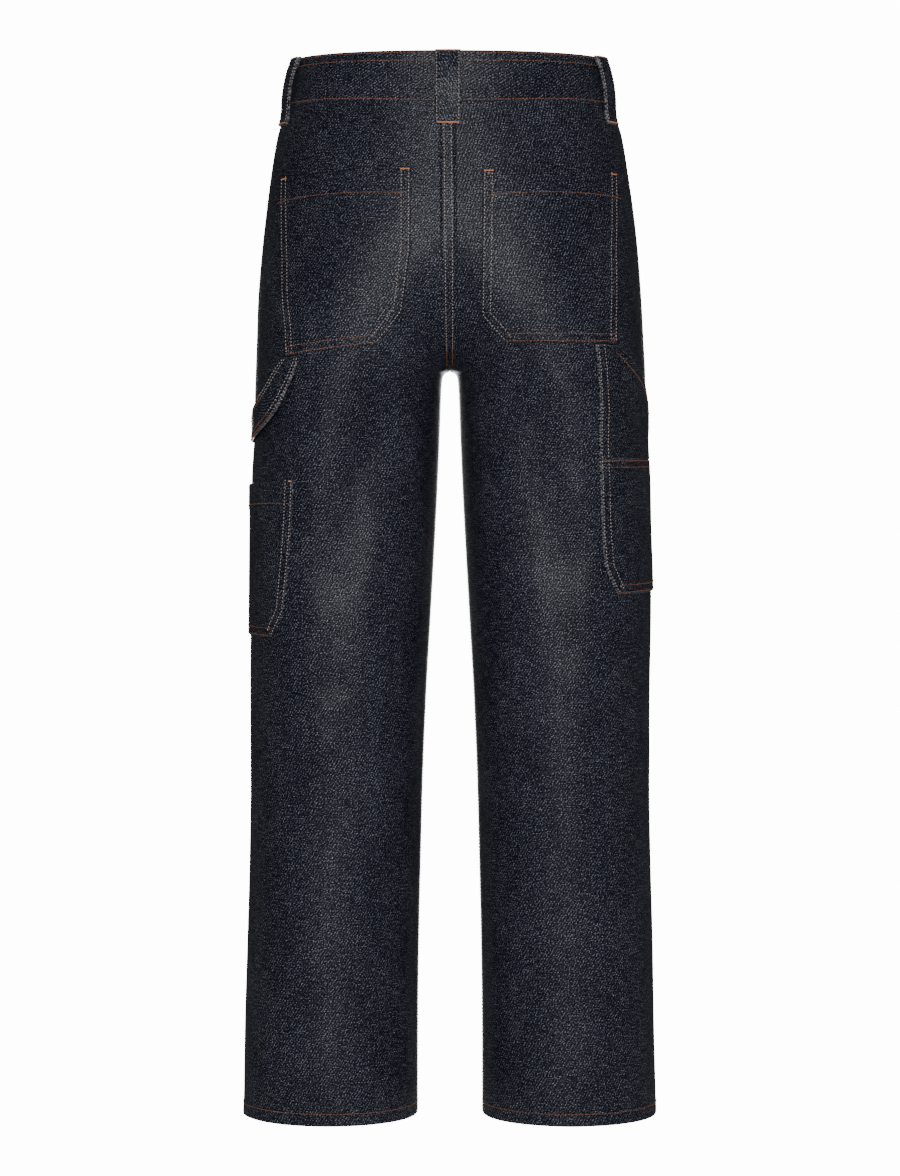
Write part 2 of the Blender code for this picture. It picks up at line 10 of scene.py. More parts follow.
import bmesh
import bpy
import numpy as np
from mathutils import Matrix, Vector


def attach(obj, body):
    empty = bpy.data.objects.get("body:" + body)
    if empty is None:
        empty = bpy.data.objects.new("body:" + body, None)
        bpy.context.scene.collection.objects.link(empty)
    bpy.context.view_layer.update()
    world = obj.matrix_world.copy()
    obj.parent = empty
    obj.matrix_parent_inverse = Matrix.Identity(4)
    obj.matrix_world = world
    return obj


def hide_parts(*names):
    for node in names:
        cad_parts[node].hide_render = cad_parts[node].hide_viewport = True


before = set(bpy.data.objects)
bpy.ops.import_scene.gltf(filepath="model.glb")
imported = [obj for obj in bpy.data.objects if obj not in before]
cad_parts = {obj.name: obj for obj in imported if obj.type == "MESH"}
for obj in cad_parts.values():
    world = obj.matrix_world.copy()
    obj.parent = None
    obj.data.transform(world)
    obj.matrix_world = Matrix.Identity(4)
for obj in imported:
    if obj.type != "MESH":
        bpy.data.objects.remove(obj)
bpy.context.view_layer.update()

# Cloth, seams and heights, in metres
CLOTH = 0.0015
SEAM_GAP = 0.0003
BAND_CLOTH = 0.0030
BAND_PROUD = 0.0007
BAND_TOP = 0.0203
BAND_SEAM = -0.0247
BAND_DIP = 0.0037
BAND_DIP_HALF = 0.120
CROTCH = -0.2795
HEM = -1.0038
HEM_TURN = 0.012

# How the two rounds of the legs draw apart above the crotch, and the form between them
SPLIT_HEIGHT = 0.190
SPLIT_POWER = 1.2
VALLEY_ROUND = 0.015
VALLEY_HEIGHT = 0.100
GAP_ROUND = 0.004

# Seams on the form: the outseam lies in front of the widest line
OUTSEAM = 0.035

# The garment's own rounds, in millimetres: how far the left and the right side stand from the middle, half
# the gap between the legs, how far the back and the front stand out, and how square the round is (2 = oval)
Level = namedtuple("Level", "height left right gap back front square")
LEVELS = [
    Level(20.3, 151.0, 152.0, 7.0, 112.0, 108.0, 2.30),
    Level(-24.7, 158.5, 158.5, 7.0, 115.0, 111.0, 2.30),
    Level(-53.0, 167.5, 167.0, 7.0, 118.0, 113.0, 2.30),
    Level(-92.0, 174.0, 173.5, 7.0, 121.5, 114.0, 2.30),
    Level(-131.0, 179.0, 179.0, 7.0, 124.0, 114.0, 2.30),
    Level(-170.0, 183.3, 183.3, 7.0, 125.0, 113.0, 2.28),
    Level(-210.0, 187.0, 186.5, 7.0, 124.0, 111.0, 2.25),
    Level(-250.0, 188.5, 188.8, 7.3, 120.5, 108.5, 2.20),
    Level(-280.0, 189.7, 190.5, 7.8, 117.0, 106.8, 2.18),
    Level(-307.0, 190.6, 191.0, 8.8, 113.5, 105.0, 2.15),
    Level(-346.0, 191.2, 191.2, 10.2, 108.5, 103.0, 2.12),
    Level(-385.0, 193.0, 193.2, 11.8, 104.5, 101.0, 2.10),
    Level(-424.0, 193.4, 194.0, 13.7, 101.0, 99.5, 2.10),
    Level(-502.0, 194.2, 196.2, 18.0, 96.0, 96.0, 2.10),
    Level(-600.0, 195.0, 195.0, 23.5, 90.5, 92.0, 2.08),
    Level(-677.0, 194.8, 194.8, 26.6, 87.5, 89.0, 2.06),
    Level(-755.0, 196.0, 196.2, 28.6, 86.0, 87.0, 2.05),
    Level(-833.0, 198.3, 198.4, 30.4, 85.0, 85.5, 2.05),
    Level(-920.0, 201.0, 200.0, 31.4, 84.5, 84.5, 2.05),
    Level(-1004.0, 202.3, 202.3, 31.6, 84.5, 84.0, 2.05),
]
SECTION_STEPS = 180

# The largest folds, in millimetres: soft troughs (depth below 0) and ridges on one side's form, from one
# place (length round the form, height) to another
Fold = namedtuple("Fold", "side from_round from_height to_round to_height width depth")
FOLDS = [
    Fold(1, -205, -300, -140, -470, 30, -5.0),
    Fold(-1, -205, -300, -145, -455, 30, -5.0),
    Fold(1, -120, -330, -110, -620, 34, 2.5),
    Fold(-1, -120, -330, -110, -600, 34, 2.5),
]

# Smaller creases and hollows. The long ones down from the crotch follow the photograph's dark diagonals; the
# others, and all on the hidden front, are placed by judgement where such cloth creases
CREASES = [
    Fold(1, -150, -262, -60, -300, 14, -1.6),
    Fold(1, -215, -330, -150, -392, 12, -1.5),
    Fold(1, -185, -352, -130, -560, 26, -2.6),
    Fold(-1, -180, -350, -136, -540, 26, -2.6),
    Fold(-1, -205, -318, -128, -372, 13, -1.6),
    Fold(-1, -170, -285, -118, -318, 12, 1.2),
    Fold(1, -30, -205, -22, -330, 22, -1.4),
    Fold(-1, -34, -190, -24, -300, 22, -1.3),
    Fold(1, -150, -585, -62, -566, 13, -1.1),
    Fold(1, -128, -640, -40, -655, 16, 1.2),
    Fold(-1, -140, -602, -70, -618, 14, -1.1),
    Fold(-1, -112, -668, -30, -650, 17, 1.1),
    Fold(1, -92, -760, -70, -900, 24, 1.5),
    Fold(-1, -100, -740, -84, -890, 24, 1.6),
    Fold(1, -150, -880, -96, -905, 15, -1.0),
    Fold(-1, -128, -905, -60, -884, 14, -1.0),
    Fold(1, -40, -962, -18, -1004, 12, 1.0),
    Fold(-1, -122, -958, -136, -1004, 13, 1.0),
    Fold(1, 205, -305, 110, -262, 13, -1.8),
    Fold(1, 190, -330, 96, -318, 14, -1.6),
    Fold(1, 160, -372, 132, -560, 26, -2.2),
    Fold(-1, 205, -300, 104, -270, 13, -1.7),
    Fold(-1, 186, -336, 100, -306, 14, -1.6),
    Fold(-1, 158, -366, 130, -540, 26, -2.2),
    Fold(1, 60, -606, 150, -588, 14, 1.4),
    Fold(-1, 66, -590, 146, -612, 14, 1.4),
    Fold(1, 78, -640, 140, -652, 13, -1.2),
    Fold(-1, 72, -648, 150, -632, 13, -1.2),
    Fold(1, 100, -760, 92, -910, 24, 1.4),
    Fold(-1, 104, -770, 88, -900, 24, 1.4),
]

# The folds fade out this far from the centre seams above the crotch, and join up this far below it
FOLD_FADE = 0.045
FOLD_JOIN = 0.060

# What lies on the panels: its gap and the thickness of patches, loops and the strap
PATCH_GAP = 0.0006
PATCH_CLOTH = 0.0016
STRAP_CLOTH = 0.0020
STRAP_WIDTH = 0.026
# How far behind the form the pieces under the front panels lie
BEHIND = 0.0027

# Back pockets, in millimetres: the inner edge by its distance from the middle, the outer edge by its length
# round from the side, from the mouth down to the clipped corner and the bottom
PocketRow = namedtuple("PocketRow", "inner_x inner_height outer_round outer_height")
BACK_POCKETS = {
    1: [
        PocketRow(36.4, -91.0, -62.0, -97.3),
        PocketRow(37.0, -166.0, -87.5, -178.0),
        PocketRow(45.0, -226.0, -100.5, -240.0),
        PocketRow(68.5, -255.7, -103.0, -267.1),
    ],
    -1: [
        PocketRow(30.5, -92.8, -63.5, -92.6),
        PocketRow(30.0, -170.0, -88.0, -169.0),
        PocketRow(30.0, -229.0, -98.0, -229.0),
        PocketRow(52.4, -254.7, -99.5, -254.7),
    ],
}

# Leg pockets, in millimetres: the back edge's length round and height, and the height at the outseam
PatchRow = namedtuple("PatchRow", "back_round back_height front_height")
LEG_PATCH = [
    PatchRow(-109.0, -384.0, -391.0),
    PatchRow(-102.0, -440.0, -441.0),
    PatchRow(-91.5, -511.0, -511.0),
    PatchRow(-75.0, -535.0, -534.0),
]
TOOL_JOINT = -365.0
TOOL_LOWER = [
    PatchRow(-116.0, TOOL_JOINT, TOOL_JOINT),
    PatchRow(-110.5, -434.0, -434.0),
    PatchRow(-106.5, -468.0, -468.0),
    PatchRow(-92.5, -493.5, -491.0),
]
TOOL_TOP_BACK = -126.0
# The slanted mouth of the tool pocket, in millimetres, from under the back pocket to the outseam
Mouth = namedtuple("Mouth", "round height")
TOOL_MOUTH = [
    Mouth(-130.0, -256.0),
    Mouth(-99.0, -256.2),
    Mouth(-87.0, -263.7),
    Mouth(-78.0, -270.2),
    Mouth(-58.0, -281.7),
    Mouth(-40.0, -291.6),
    Mouth(0.0, -315.0),
    Mouth(36.0, -336.0),
]

# The hammer loop's two edges and how far it stands off the leg, in millimetres
StrapRow = namedtuple("StrapRow", "low_round low_height high_round high_height lift")
HAMMER_LOOP = [
    StrapRow(-119.5, -266.3, -99.5, -268.8, 0.6),
    StrapRow(-113.0, -291.0, -91.0, -280.0, 4.6),
    StrapRow(-99.0, -317.0, -80.0, -296.0, 8.4),
    StrapRow(-76.0, -334.0, -62.0, -309.5, 7.6),
    StrapRow(-45.0, -343.0, -37.0, -318.5, 3.0),
    StrapRow(-7.0, -347.5, -3.0, -323.5, 1.0),
    StrapRow(34.7, -350.0, 34.7, -326.0, 0.6),
]

# Belt loops, in millimetres: above the waist seam, how far the inside of the loop stands off, and its
# thickness, which is double where the ends are folded under
LoopRow = namedtuple("LoopRow", "above_seam lift thick")
BELT_LOOP = [
    LoopRow(-20.0, 0.6, 3.0),
    LoopRow(-14.0, 0.9, 3.0),
    LoopRow(-7.0, 3.2, 2.2),
    LoopRow(4.0, 5.6, 2.0),
    LoopRow(18.0, 6.4, 2.0),
    LoopRow(31.0, 5.2, 2.2),
    LoopRow(39.0, 2.4, 3.6),
    LoopRow(45.5, 1.3, 3.8),
]
LOOP_WIDTH = 0.024
BACK_LOOP_X = 0.002
SIDE_LOOPS = {1: -0.038, -1: -0.049}
FRONT_LOOP = 0.139

# Front closure: the waistband's right end runs under its left end, over the fly shield
UNDERLAP = 0.036
UNDERLAP_RAMP = 0.030
SHIELD_LEFT = 0.036
SHIELD_RIGHT = 0.028
SHIELD_END = -0.185
BUTTON_X = 0.018
BUTTON_GAP = 0.0006
# The button's turned outline, in millimetres: radius and height above the cloth
ButtonRow = namedtuple("ButtonRow", "radius rise")
BUTTON = [
    ButtonRow(0.0, 0.0),
    ButtonRow(5.0, 0.0),
    ButtonRow(7.6, 0.4),
    ButtonRow(8.3, 0.9),
    ButtonRow(8.6, 1.6),
    ButtonRow(8.4, 2.2),
    ButtonRow(7.9, 2.7),
    ButtonRow(7.3, 2.9),
    ButtonRow(6.8, 2.75),
    ButtonRow(6.5, 2.4),
    ButtonRow(6.1, 2.3),
    ButtonRow(5.4, 2.5),
    ButtonRow(3.8, 2.75),
    ButtonRow(1.9, 2.88),
    ButtonRow(0.0, 2.92),
]
BUTTON_SIDES = 48

# Front pocket mouths: a quarter oval from the waist seam to the outseam, over a facing
SCOOP_WIDTH = 0.092
SCOOP_HEIGHT = 0.078
SCOOP_TUCK = 0.014

# Looks only: hairline seams, turnings hidden inside, and the felled seam at the centre back
HAIR = 0.00005
SEAM_ALLOWANCE = 0.014
FELL_FOLD = 0.003
FELL_END = 0.0078
FELL_RAISE = 0.0009
FELL_DRIFT = 0.0022
FELL_COLUMNS = np.array(
    [0.0170, 0.0145, 0.0125, 0.0110, 0.0098, 0.0088, 0.0080, 0.0073, 0.0066, 0.0058, 0.0052, 0.0047, 0.0043]
    + [0.0039, 0.0036, 0.0033, 0.0030, 0.0027, 0.0024, 0.0020, 0.0015, 0.0010, 0.0005, 0.0]
)
SLIP_HEIGHT = 0.030
SLIP_POWER = 6
FLY_END = -0.150
FLY_WIDTH = 0.036
BAND_STEPS = 150
CUTS = []
KNOWN = {}

# Sewing: 7.7 stitches to the inch, two rows 6.8 mm apart, and the bar tacks
STITCH_PITCH = 0.0033
STITCH_SIDES = 6
LEVEL_FILL = 0.86
STEEP_FILL = 0.56
FIRST_ROW = 0.0020
SECOND_ROW = 0.0088
TACK_PITCH = 0.00055
TACK_WIDTH = 0.0016

HEM_ROW = 0.0205
FELL_ROWS = ((1, 0.0059), (-1, 0.0010))
BAND_ROWS = (0.0017, BAND_TOP - BAND_SEAM - 0.0088, BAND_TOP - BAND_SEAM - 0.0020)
JOINT_ROWS = (0.0010, 0.0070)
MOUTH_ROW = 0.0085
POCKET_TACKS = ((0.0012, 0.0100), (-0.0012, -0.0100))
PATCH_TACK = (0.0030, 0.0060)
BUTTONHOLE_TACKS = ((0.0035, 0.0075), (0.0275, 0.0300))
# Shares of a loop's width and length, and of the strap's width
LOOP_ROWS = (0.075, 0.925)
LOOP_TACKS = (0.035, 0.978)
STRAP_ROWS = (0.065, 0.20, 0.80, 0.935)
HEM_RAISE = 0.0006
HEM_DEPTH = 0.024

# The photograph's view: level with the thighs, 3.6 m behind the wearer, a little down
VIEW_PLACE = (0.0, 3.6, -0.3605)
VIEW_AIM = (0.0, 0.0, -0.3605 - 3.6 * 133 / 3692)
VIEW_FOCAL = 3692 * 36.0 / 1176
FLOOR = -1.42
WORLD_LIGHT = 0.10

# Weave: how far apart the twill lines are drawn across the cloth, and how steeply they climb
TWILL_ACROSS = 0.0030
TWILL_CLIMB = 1.6
WARP_STOPS = [(0.30, "06070f"), (0.46, "0f111d"), (0.56, "1e202e"), (0.66, "40424e"), (0.80, "8e9098")]
WEFT_STOPS = [(0.30, "2f333d"), (0.48, "6d7179"), (0.66, "8f9296")]


def eased(table, column, heights):
    """A column of the table at any heights, on smooth curves that don't overshoot its rows."""
    rows = sorted(table)
    at = np.array([row.height for row in rows]) / 1000
    value = np.array([getattr(row, column) for row in rows])
    step = np.diff(at)
    slope = np.diff(value) / step
    before, after = slope[:-1], slope[1:]
    same_way = before * after > 0
    mean = np.where(same_way, 2 * before * after / np.where(same_way, before + after, 1), 0)
    tangent = np.concatenate([slope[:1], mean, slope[-1:]])
    heights = np.clip(heights, at[0], at[-1])
    i = np.clip(np.searchsorted(at, heights) - 1, 0, len(step) - 1)
    t = (heights - at[i]) / step[i]
    return (
        value[i] * (1 + 2 * t) * (1 - t) ** 2
        + tangent[i] * step[i] * t * (1 - t) ** 2
        + value[i + 1] * t * t * (3 - 2 * t)
        + tangent[i + 1] * step[i] * t * t * (t - 1)
    )


def smooth(t):
    """Eases from 0 to 1."""
    t = np.clip(t, 0, 1)
    return t * t * (3 - 2 * t)


def pair(a, b):
    """Two arrays side by side, as places on the flat cloth."""
    return np.stack(np.broadcast_arrays(a, b), axis=-1)


def rounds(side, heights):
    """x, y and the length round the form, nought at the widest line, for one side: a row for each height."""
    z = np.asarray(heights, float)[:, None]
    outer = eased(LEVELS, "left" if side > 0 else "right", z) / 1000
    back = eased(LEVELS, "back", z) / 1000
    front = eased(LEVELS, "front", z) / 1000
    square = eased(LEVELS, "square", z)
    rise = np.clip((z - CROTCH) / SPLIT_HEIGHT, 0, 1)
    split = (1 - rise) ** SPLIT_POWER
    drop = np.clip(CROTCH - z, 0, None)
    gap = eased(LEVELS, "gap", z) / 1000
    parting = outer * SPLIT_POWER / SPLIT_HEIGHT / 2
    inner = gap * (1 - np.exp(-parting * drop / gap)) - outer * (1 - split) / (1 + split)
    middle, half = (outer + inner) / 2, (outer - inner) / 2
    valley = VALLEY_ROUND * np.tanh(np.clip(z - CROTCH, 0, None) / VALLEY_HEIGHT)
    arch = np.clip(gap**2 * (1 - np.exp(-drop / GAP_ROUND)) - inner**2, 0, None) * (drop > 0)
    move = arch - valley**2
    reach = np.clip((valley - middle) / half, -1, 1)
    start = np.where(z < CROTCH, np.pi, np.arccos(np.sign(reach) * np.abs(reach) ** (square / 2)))
    turn = start * np.linspace(1, -1, SECTION_STEPS * 2 + 1)[None, :]
    cos, sin = np.cos(turn), np.sin(turn)
    x = middle + half * np.sign(cos) * np.abs(cos) ** (2 / square)
    y = np.where(sin > 0, back, front) * np.sign(sin) * np.abs(sin) ** (2 / square)
    x = np.sqrt(np.clip(x * x + move, 0, None)) * outer / np.sqrt(outer**2 + move)
    length = np.concatenate([z * 0, np.cumsum(np.hypot(np.diff(x), np.diff(y)), axis=1)], axis=1)
    return x, y, length - length[:, SECTION_STEPS : SECTION_STEPS + 1]


def sections(side, heights):
    """The rounds at each different height, and which of them each height has. The latest few are kept."""
    levels, at = np.unique(np.round(heights, 7), return_inverse=True)
    key = (side, levels.tobytes())
    if key not in KNOWN:
        if len(KNOWN) > 8:
            KNOWN.clear()
        KNOWN[key] = rounds(side, levels)
    return KNOWN[key], at


def on_form(side, length, height):
    """Places on the bare form, for arrays of lengths round it and heights."""
    length, height = np.broadcast_arrays(np.asarray(length, float), np.asarray(height, float))
    want = length.ravel()
    (x, y, along), at = sections(side, height.ravel())
    order = np.argsort(at, kind="stable")
    starts = np.concatenate([[0], np.cumsum(np.bincount(at, minlength=len(along)))])
    places = np.empty((want.size, 3))
    places[:, 2] = height.ravel()
    for k in range(len(along)):
        here = order[starts[k] : starts[k + 1]]
        places[here, 0] = side * np.interp(want[here], along[k], x[k])
        places[here, 1] = np.interp(want[here], along[k], y[k])
    return places.reshape(length.shape + (3,))


def way_out(side, length, height, step=0.0015):
    """The direction that points straight out of the cloth."""
    across = on_form(side, length + step, height) - on_form(side, length - step, height)
    up = on_form(side, length, height + step) - on_form(side, length, height - step)
    out = side * np.cross(up, across)
    return out / np.maximum(np.linalg.norm(out, axis=-1, keepdims=True), 1e-12)


def ends(side, height):
    """The lengths at which one side's form starts at the back and ends at the front."""
    (_, _, along), at = sections(side, np.ravel(np.asarray(height, float)))
    shape = np.shape(height)
    return along[at, 0].reshape(shape), along[at, -1].reshape(shape)


def fold_height(side, length, height):
    """How far the folds raise the cloth, faded out beside the centre seams."""
    first, last = ends(side, height)
    whole = np.where(height < CROTCH, last - first, 1e3)
    raised = np.zeros(np.shape(length))
    for fold in FOLDS + CREASES:
        if fold.side != side:
            continue
        a = np.array([fold.from_round, fold.from_height]) / 1000
        b = np.array([fold.to_round, fold.to_height]) / 1000
        run = b - a
        for lap in (-1, 0, 1):
            off = pair(length + lap * whole - a[0], height - a[1])
            t = np.clip(off @ run / (run @ run), 0, 1)
            away = np.linalg.norm(off - t[..., None] * run, axis=-1)
            raised += fold.depth / 1000 * np.exp(-((away / (fold.width / 1000)) ** 2))
    beside = smooth(np.minimum(length - first, last - length) / FOLD_FADE)
    joined = smooth((height - CROTCH + FOLD_JOIN) / FOLD_JOIN)
    return raised * (1 - joined * (1 - beside))


def lifted(side, length, height, lift):
    """Places on the folded cloth, moved out by lift and kept off the middle plane above the crotch."""
    length, height = np.broadcast_arrays(np.asarray(length, float), np.asarray(height, float))
    raised = fold_height(side, length, height) + lift
    places = on_form(side, length, height) + way_out(side, length, height) * raised[..., None]
    places[..., 0] = side * np.maximum(side * places[..., 0], SEAM_GAP / 2)
    return places


def band_seam(x, at_back):
    """Height of the waistband's lower seam, which dips at the centre back."""
    dip = np.clip(1 - (x / BAND_DIP_HALF) ** 2, 0, 1) ** 1.5
    return BAND_SEAM - BAND_DIP * dip * at_back


def scoop(height):
    """How far in front of the outseam the pocket's mouth runs at a height."""
    down = np.clip((BAND_SEAM - SEAM_GAP - height) / SCOOP_HEIGHT, 0, 1)
    return SCOOP_WIDTH * np.sqrt(1 - down**2)


def length_at_x(side, x, height):
    """The length round the form where its back is x from the middle."""
    (across, _, along), at = sections(side, np.ravel(height))
    half = SECTION_STEPS + 1
    found = [np.interp(a, across[k, :half], along[k, :half]) for a, k in zip(np.ravel(x), at)]
    return np.array(found).reshape(np.shape(height))


def through(corners, count):
    """Rows on a smooth curve through a table's rows, in metres."""
    table = np.array(corners) / 1000
    ends_too = np.concatenate([2 * table[:1] - table[1:2], table, 2 * table[-1:] - table[-2:-1]])
    made = []
    for at in np.linspace(0, len(table) - 1, count):
        i = min(int(at), len(table) - 2)
        t = at - i
        before, a, b, after = ends_too[i : i + 4]
        bend = 2 * before - 5 * a + 4 * b - after
        made.append(a + t / 2 * (b - before + t * (bend + t * (3 * a - before - 3 * b + after))))
    return np.array(made)


def along_scale(side, length, height):
    """Keeps a place on the waistband at the same share of its round at every height."""
    first, last = ends(side, height)
    seam_first, seam_last = ends(side, BAND_SEAM)
    return np.where(length < 0, first / seam_first, last / seam_last)


def pieces_edge(length, height):
    """Each place's distance from the edge of its piece, measured on the flat cloth."""
    flat = pair(length, height)
    rim = np.concatenate([flat[0, :-1], flat[:-1, -1], flat[-1, :0:-1], flat[:0:-1, 0]])
    run = np.roll(rim, -1, axis=0) - rim
    far = np.full(length.shape, 9.0)
    for a, b in zip(rim, run):
        if b @ b > 0:
            t = np.clip((flat - a) @ b / (b @ b), 0, 1)
            far = np.minimum(far, np.linalg.norm(flat - a - t[..., None] * b, axis=-1))
    return far


def shell(name, outer, inner, places, edge, finishes, sharp=55):
    """A closed thin shell between two grids. places are the cloth's own coordinates, kept as its UV map, and
    edge is how far each place lies from the piece's edge."""
    count = outer.shape[0] * outer.shape[1]
    index = np.arange(count).reshape(outer.shape[:2])
    quads = np.stack([index[:-1, :-1], index[:-1, 1:], index[1:, 1:], index[1:, :-1]], axis=-1).reshape(-1, 4)
    ring = np.concatenate([index[0, :-1], index[:-1, -1], index[-1, :0:-1], index[:0:-1, 0]])
    after = np.roll(ring, -1)
    rim = np.stack([ring, after, after + count, ring + count], axis=-1)
    faces = np.concatenate([quads, quads[:, ::-1] + count, rim])
    mesh = bpy.data.meshes.new(name)
    verts = np.concatenate([outer.reshape(-1, 3), inner.reshape(-1, 3)])
    mesh.from_pydata(verts.tolist(), [], faces.tolist())
    for finish in finishes:
        mesh.materials.append(finish)
    behind = np.zeros(len(faces), dtype=np.int32)
    behind[len(quads) : 2 * len(quads)] = len(finishes) - 1
    mesh.polygons.foreach_set("material_index", behind)
    bm = bmesh.new()
    bm.from_mesh(mesh)
    bmesh.ops.recalc_face_normals(bm, faces=bm.faces[:])
    bm.to_mesh(mesh)
    bm.free()
    corner = np.empty(len(mesh.loops), dtype=np.int32)
    mesh.loops.foreach_get("vertex_index", corner)
    cloth = mesh.uv_layers.new(name="cloth")
    cloth.data.foreach_set("uv", places.reshape(-1, 2)[corner % count].astype(np.float32).ravel())
    near = mesh.attributes.new("edge", "FLOAT", "POINT")
    near.data.foreach_set("value", np.tile(edge.ravel(), 2).astype(np.float32))
    mesh.shade_smooth()
    mesh.set_sharp_from_angle(angle=np.radians(sharp))
    return bpy.data.objects.new(name, mesh)


def show(piece, nodes):
    """Puts a piece in the scene, riding on the one body and standing for its solids."""
    bpy.context.collection.objects.link(piece)
    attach(piece, "root")
    if nodes:
        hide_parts(*nodes)
    return piece


def declare(piece, length, height, hidden):
    """States the flat cloth of what shows, and lists the whole cut with hidden, its turnings at each edge."""
    wide = float((length.max(axis=1) - length.min(axis=1)).max())
    tall = float(height.max() - height.min())
    shows, turned = np.array([wide, tall]) * 1000, hidden * 2000
    cut = f"cut {shows[0] + turned:.0f} x {shows[1] + turned:.0f} mm"
    CUTS.append(f"{piece.name}: shows {shows[0]:.0f} x {shows[1]:.0f}, {cut}")


def close_to_edges(steps, fine=(0.0006, 0.0014, 0.0026), width=0.15):
    """Shares from 0 to 1 across a piece of a given width: even steps, and finer ones beside both edges."""
    near = np.array(fine) / width
    even = np.linspace(near[-1] * 2, 1 - near[-1] * 2, steps)
    return np.concatenate([[0], near, even, 1 - near[::-1], [1]])


def across_strip(width):
    """Shares across a belt loop or the strap, finer beside its folded edges."""
    return close_to_edges(9, fine=(0.0004, 0.0010, 0.0018), width=width)


def rounded(edge, cloth, reach=0.0016):
    """The cloth's thickness, rounded over at its folded edge."""
    t = 1 - np.clip(edge / reach, 0, 1)
    return cloth * (0.45 + 0.55 * np.sqrt(1 - t * t))


def fell(x):
    """Raise of the felled seam at the centre back: its fold lies 3 mm past the middle, on the right."""
    step = smooth((x + FELL_FOLD + 0.0004) / 0.0006) * (1 - smooth((x - FELL_END) / 0.0025))
    groove = np.exp(-(((x + FELL_FOLD + 0.0012) / 0.0008) ** 2))
    return FELL_RAISE * step - 0.0005 * groove


def panel(name, node, side, back, finishes):
    """A leg panel: from the outseam to the middle and the inseam, waist seam to turned-up hem."""
    top = BAND_SEAM - HAIR
    close = np.array([0.0, 0.0008, 0.0018, 0.003])
    heights = np.concatenate(
        [
            top - close,
            np.linspace(top - 0.006, CROTCH + 0.006, 84),
            CROTCH + np.linspace(0.004, -0.012, 13),
            np.linspace(CROTCH - 0.016, HEM + 0.018, 176),
            HEM + np.array([0.0155, 0.0130, 0.0118, 0.0100, 0.0070, 0.0040, 0.0022, 0.0012, 0.0005, 0.0]),
        ]
    )
    if not back:
        corner = top - SCOOP_HEIGHT * np.array([0.97, 0.99, 0.998, 1.0])
        heights = np.sort(np.concatenate([heights, corner]))[::-1]
    height = heights[:, None]
    first, last = ends(side, heights[:, None])
    middle = first if back else last
    sign = -1.0 if back else 1.0
    start = OUTSEAM + sign * HAIR + (0 if back else scoop(height))
    stop = middle - sign * HAIR
    share = np.concatenate([[0, 0.002, 0.005, 0.009], np.linspace(0.016, 0.94, 52), 1 - FELL_COLUMNS / 0.29])
    depth = on_form(side, stop, height)[..., 1]
    slip = depth * np.exp(-np.clip(height - CROTCH, 0, None) / SLIP_HEIGHT)
    length = start + (stop - slip - start) * share + slip * share**SLIP_POWER
    height = np.repeat(height, len(share), axis=1)
    from_middle = np.abs(length - stop)
    above = height > CROTCH
    edge = np.minimum(np.abs(length - start), np.where(above, from_middle + 0.02, from_middle))
    edge = np.minimum(edge, np.minimum(height - HEM, top - height + 0.004))
    if back:
        x = on_form(side, length[0], height[0])[:, 0]
        drop = np.exp(-(top - height) / 0.02)
        height = height + (band_seam(x, 1.0) - BAND_SEAM)[None, :] * drop
    seam = np.clip(1 - np.minimum(np.abs(length - start), np.where(above, 1, from_middle)) / 0.0016, 0, 1)
    lift = -0.0008 * seam**2
    if back:
        x = on_form(side, length, height)[..., 0]
        fades = smooth((height - CROTCH - 0.004) / 0.02)
        drift = FELL_DRIFT * np.clip((BAND_SEAM - height) / (BAND_SEAM - CROTCH), 0, 1)
        lift = lift + np.where(np.abs(x) < 0.02, fell(x + drift), 0) * fades
    else:
        reach = smooth((height - FLY_END + 0.004) / 0.006) if side > 0 else 0
        lift = lift + 0.0010 * reach * (1 - smooth((from_middle - 0.034) / 0.004))
    lift = lift + roping(side, length, height) - 0.0007 * (1 - np.clip((height - HEM) / 0.0014, 0, 1)) ** 2
    deep = CLOTH * (1 + smooth((HEM + HEM_TURN + 0.0006 - height) / 0.0012))
    outer = lifted(side, length, height, lift)
    inner = lifted(side, length, height, -deep + roping(side, length, height))
    for grid in (outer, inner):
        grid[above[:, -1], -1, 0] = 0
    piece = shell(name, outer, inner, pair(-side * length, height), edge, finishes)
    show(piece, [node])
    declare(piece, length, height, SEAM_ALLOWANCE)
    return piece


def roping(side, length, height):
    """Small slanted waves in the hem and beside the waist seam, where the feed of the machine has dragged."""
    hem = np.exp(-(((height - HEM - 0.006) / 0.007) ** 2))
    return 0.00022 * hem * np.sin((length * side + 0.6 * height) * 2 * np.pi / 0.011)


def patch(name, node, side, length, height, finishes, hem=0.0):
    """A pocket lying on a panel, its edges rounded and its mouth's hem turned in twice."""
    edge = pieces_edge(length, height)
    down = height[:1] - height
    turned = hem * (1 - smooth((down - HEM_DEPTH) / 0.002))
    outer = lifted(side, length, height, PATCH_GAP + rounded(edge, PATCH_CLOTH) + turned)
    inner = lifted(side, length, height, np.full(length.shape, PATCH_GAP * 0.3))
    piece = shell(name, outer, inner, pair(-side * length, height), edge, finishes)
    show(piece, [node])
    return piece


def inset(line, distance):
    """A line moved sideways on the flat cloth, to its left where distance is above 0."""
    run = np.diff(line, axis=0)
    keep = np.concatenate([[True], np.linalg.norm(run, axis=1) > 1e-7])
    line = line[keep]
    run = np.diff(line, axis=0)
    run = run / np.linalg.norm(run, axis=1, keepdims=True)
    left = pair(-run[:, 1], run[:, 0])
    before = np.concatenate([left[:1], left])
    after = np.concatenate([left, left[-1:]])
    turn = before + after
    turn = turn / np.maximum((turn * turn).sum(axis=1, keepdims=True) / 2, 0.35)
    moved = line + distance * turn
    forward = ((moved[1:] - moved[:-1]) * run).sum(axis=1) > 0
    return moved[np.concatenate([[True], forward])]


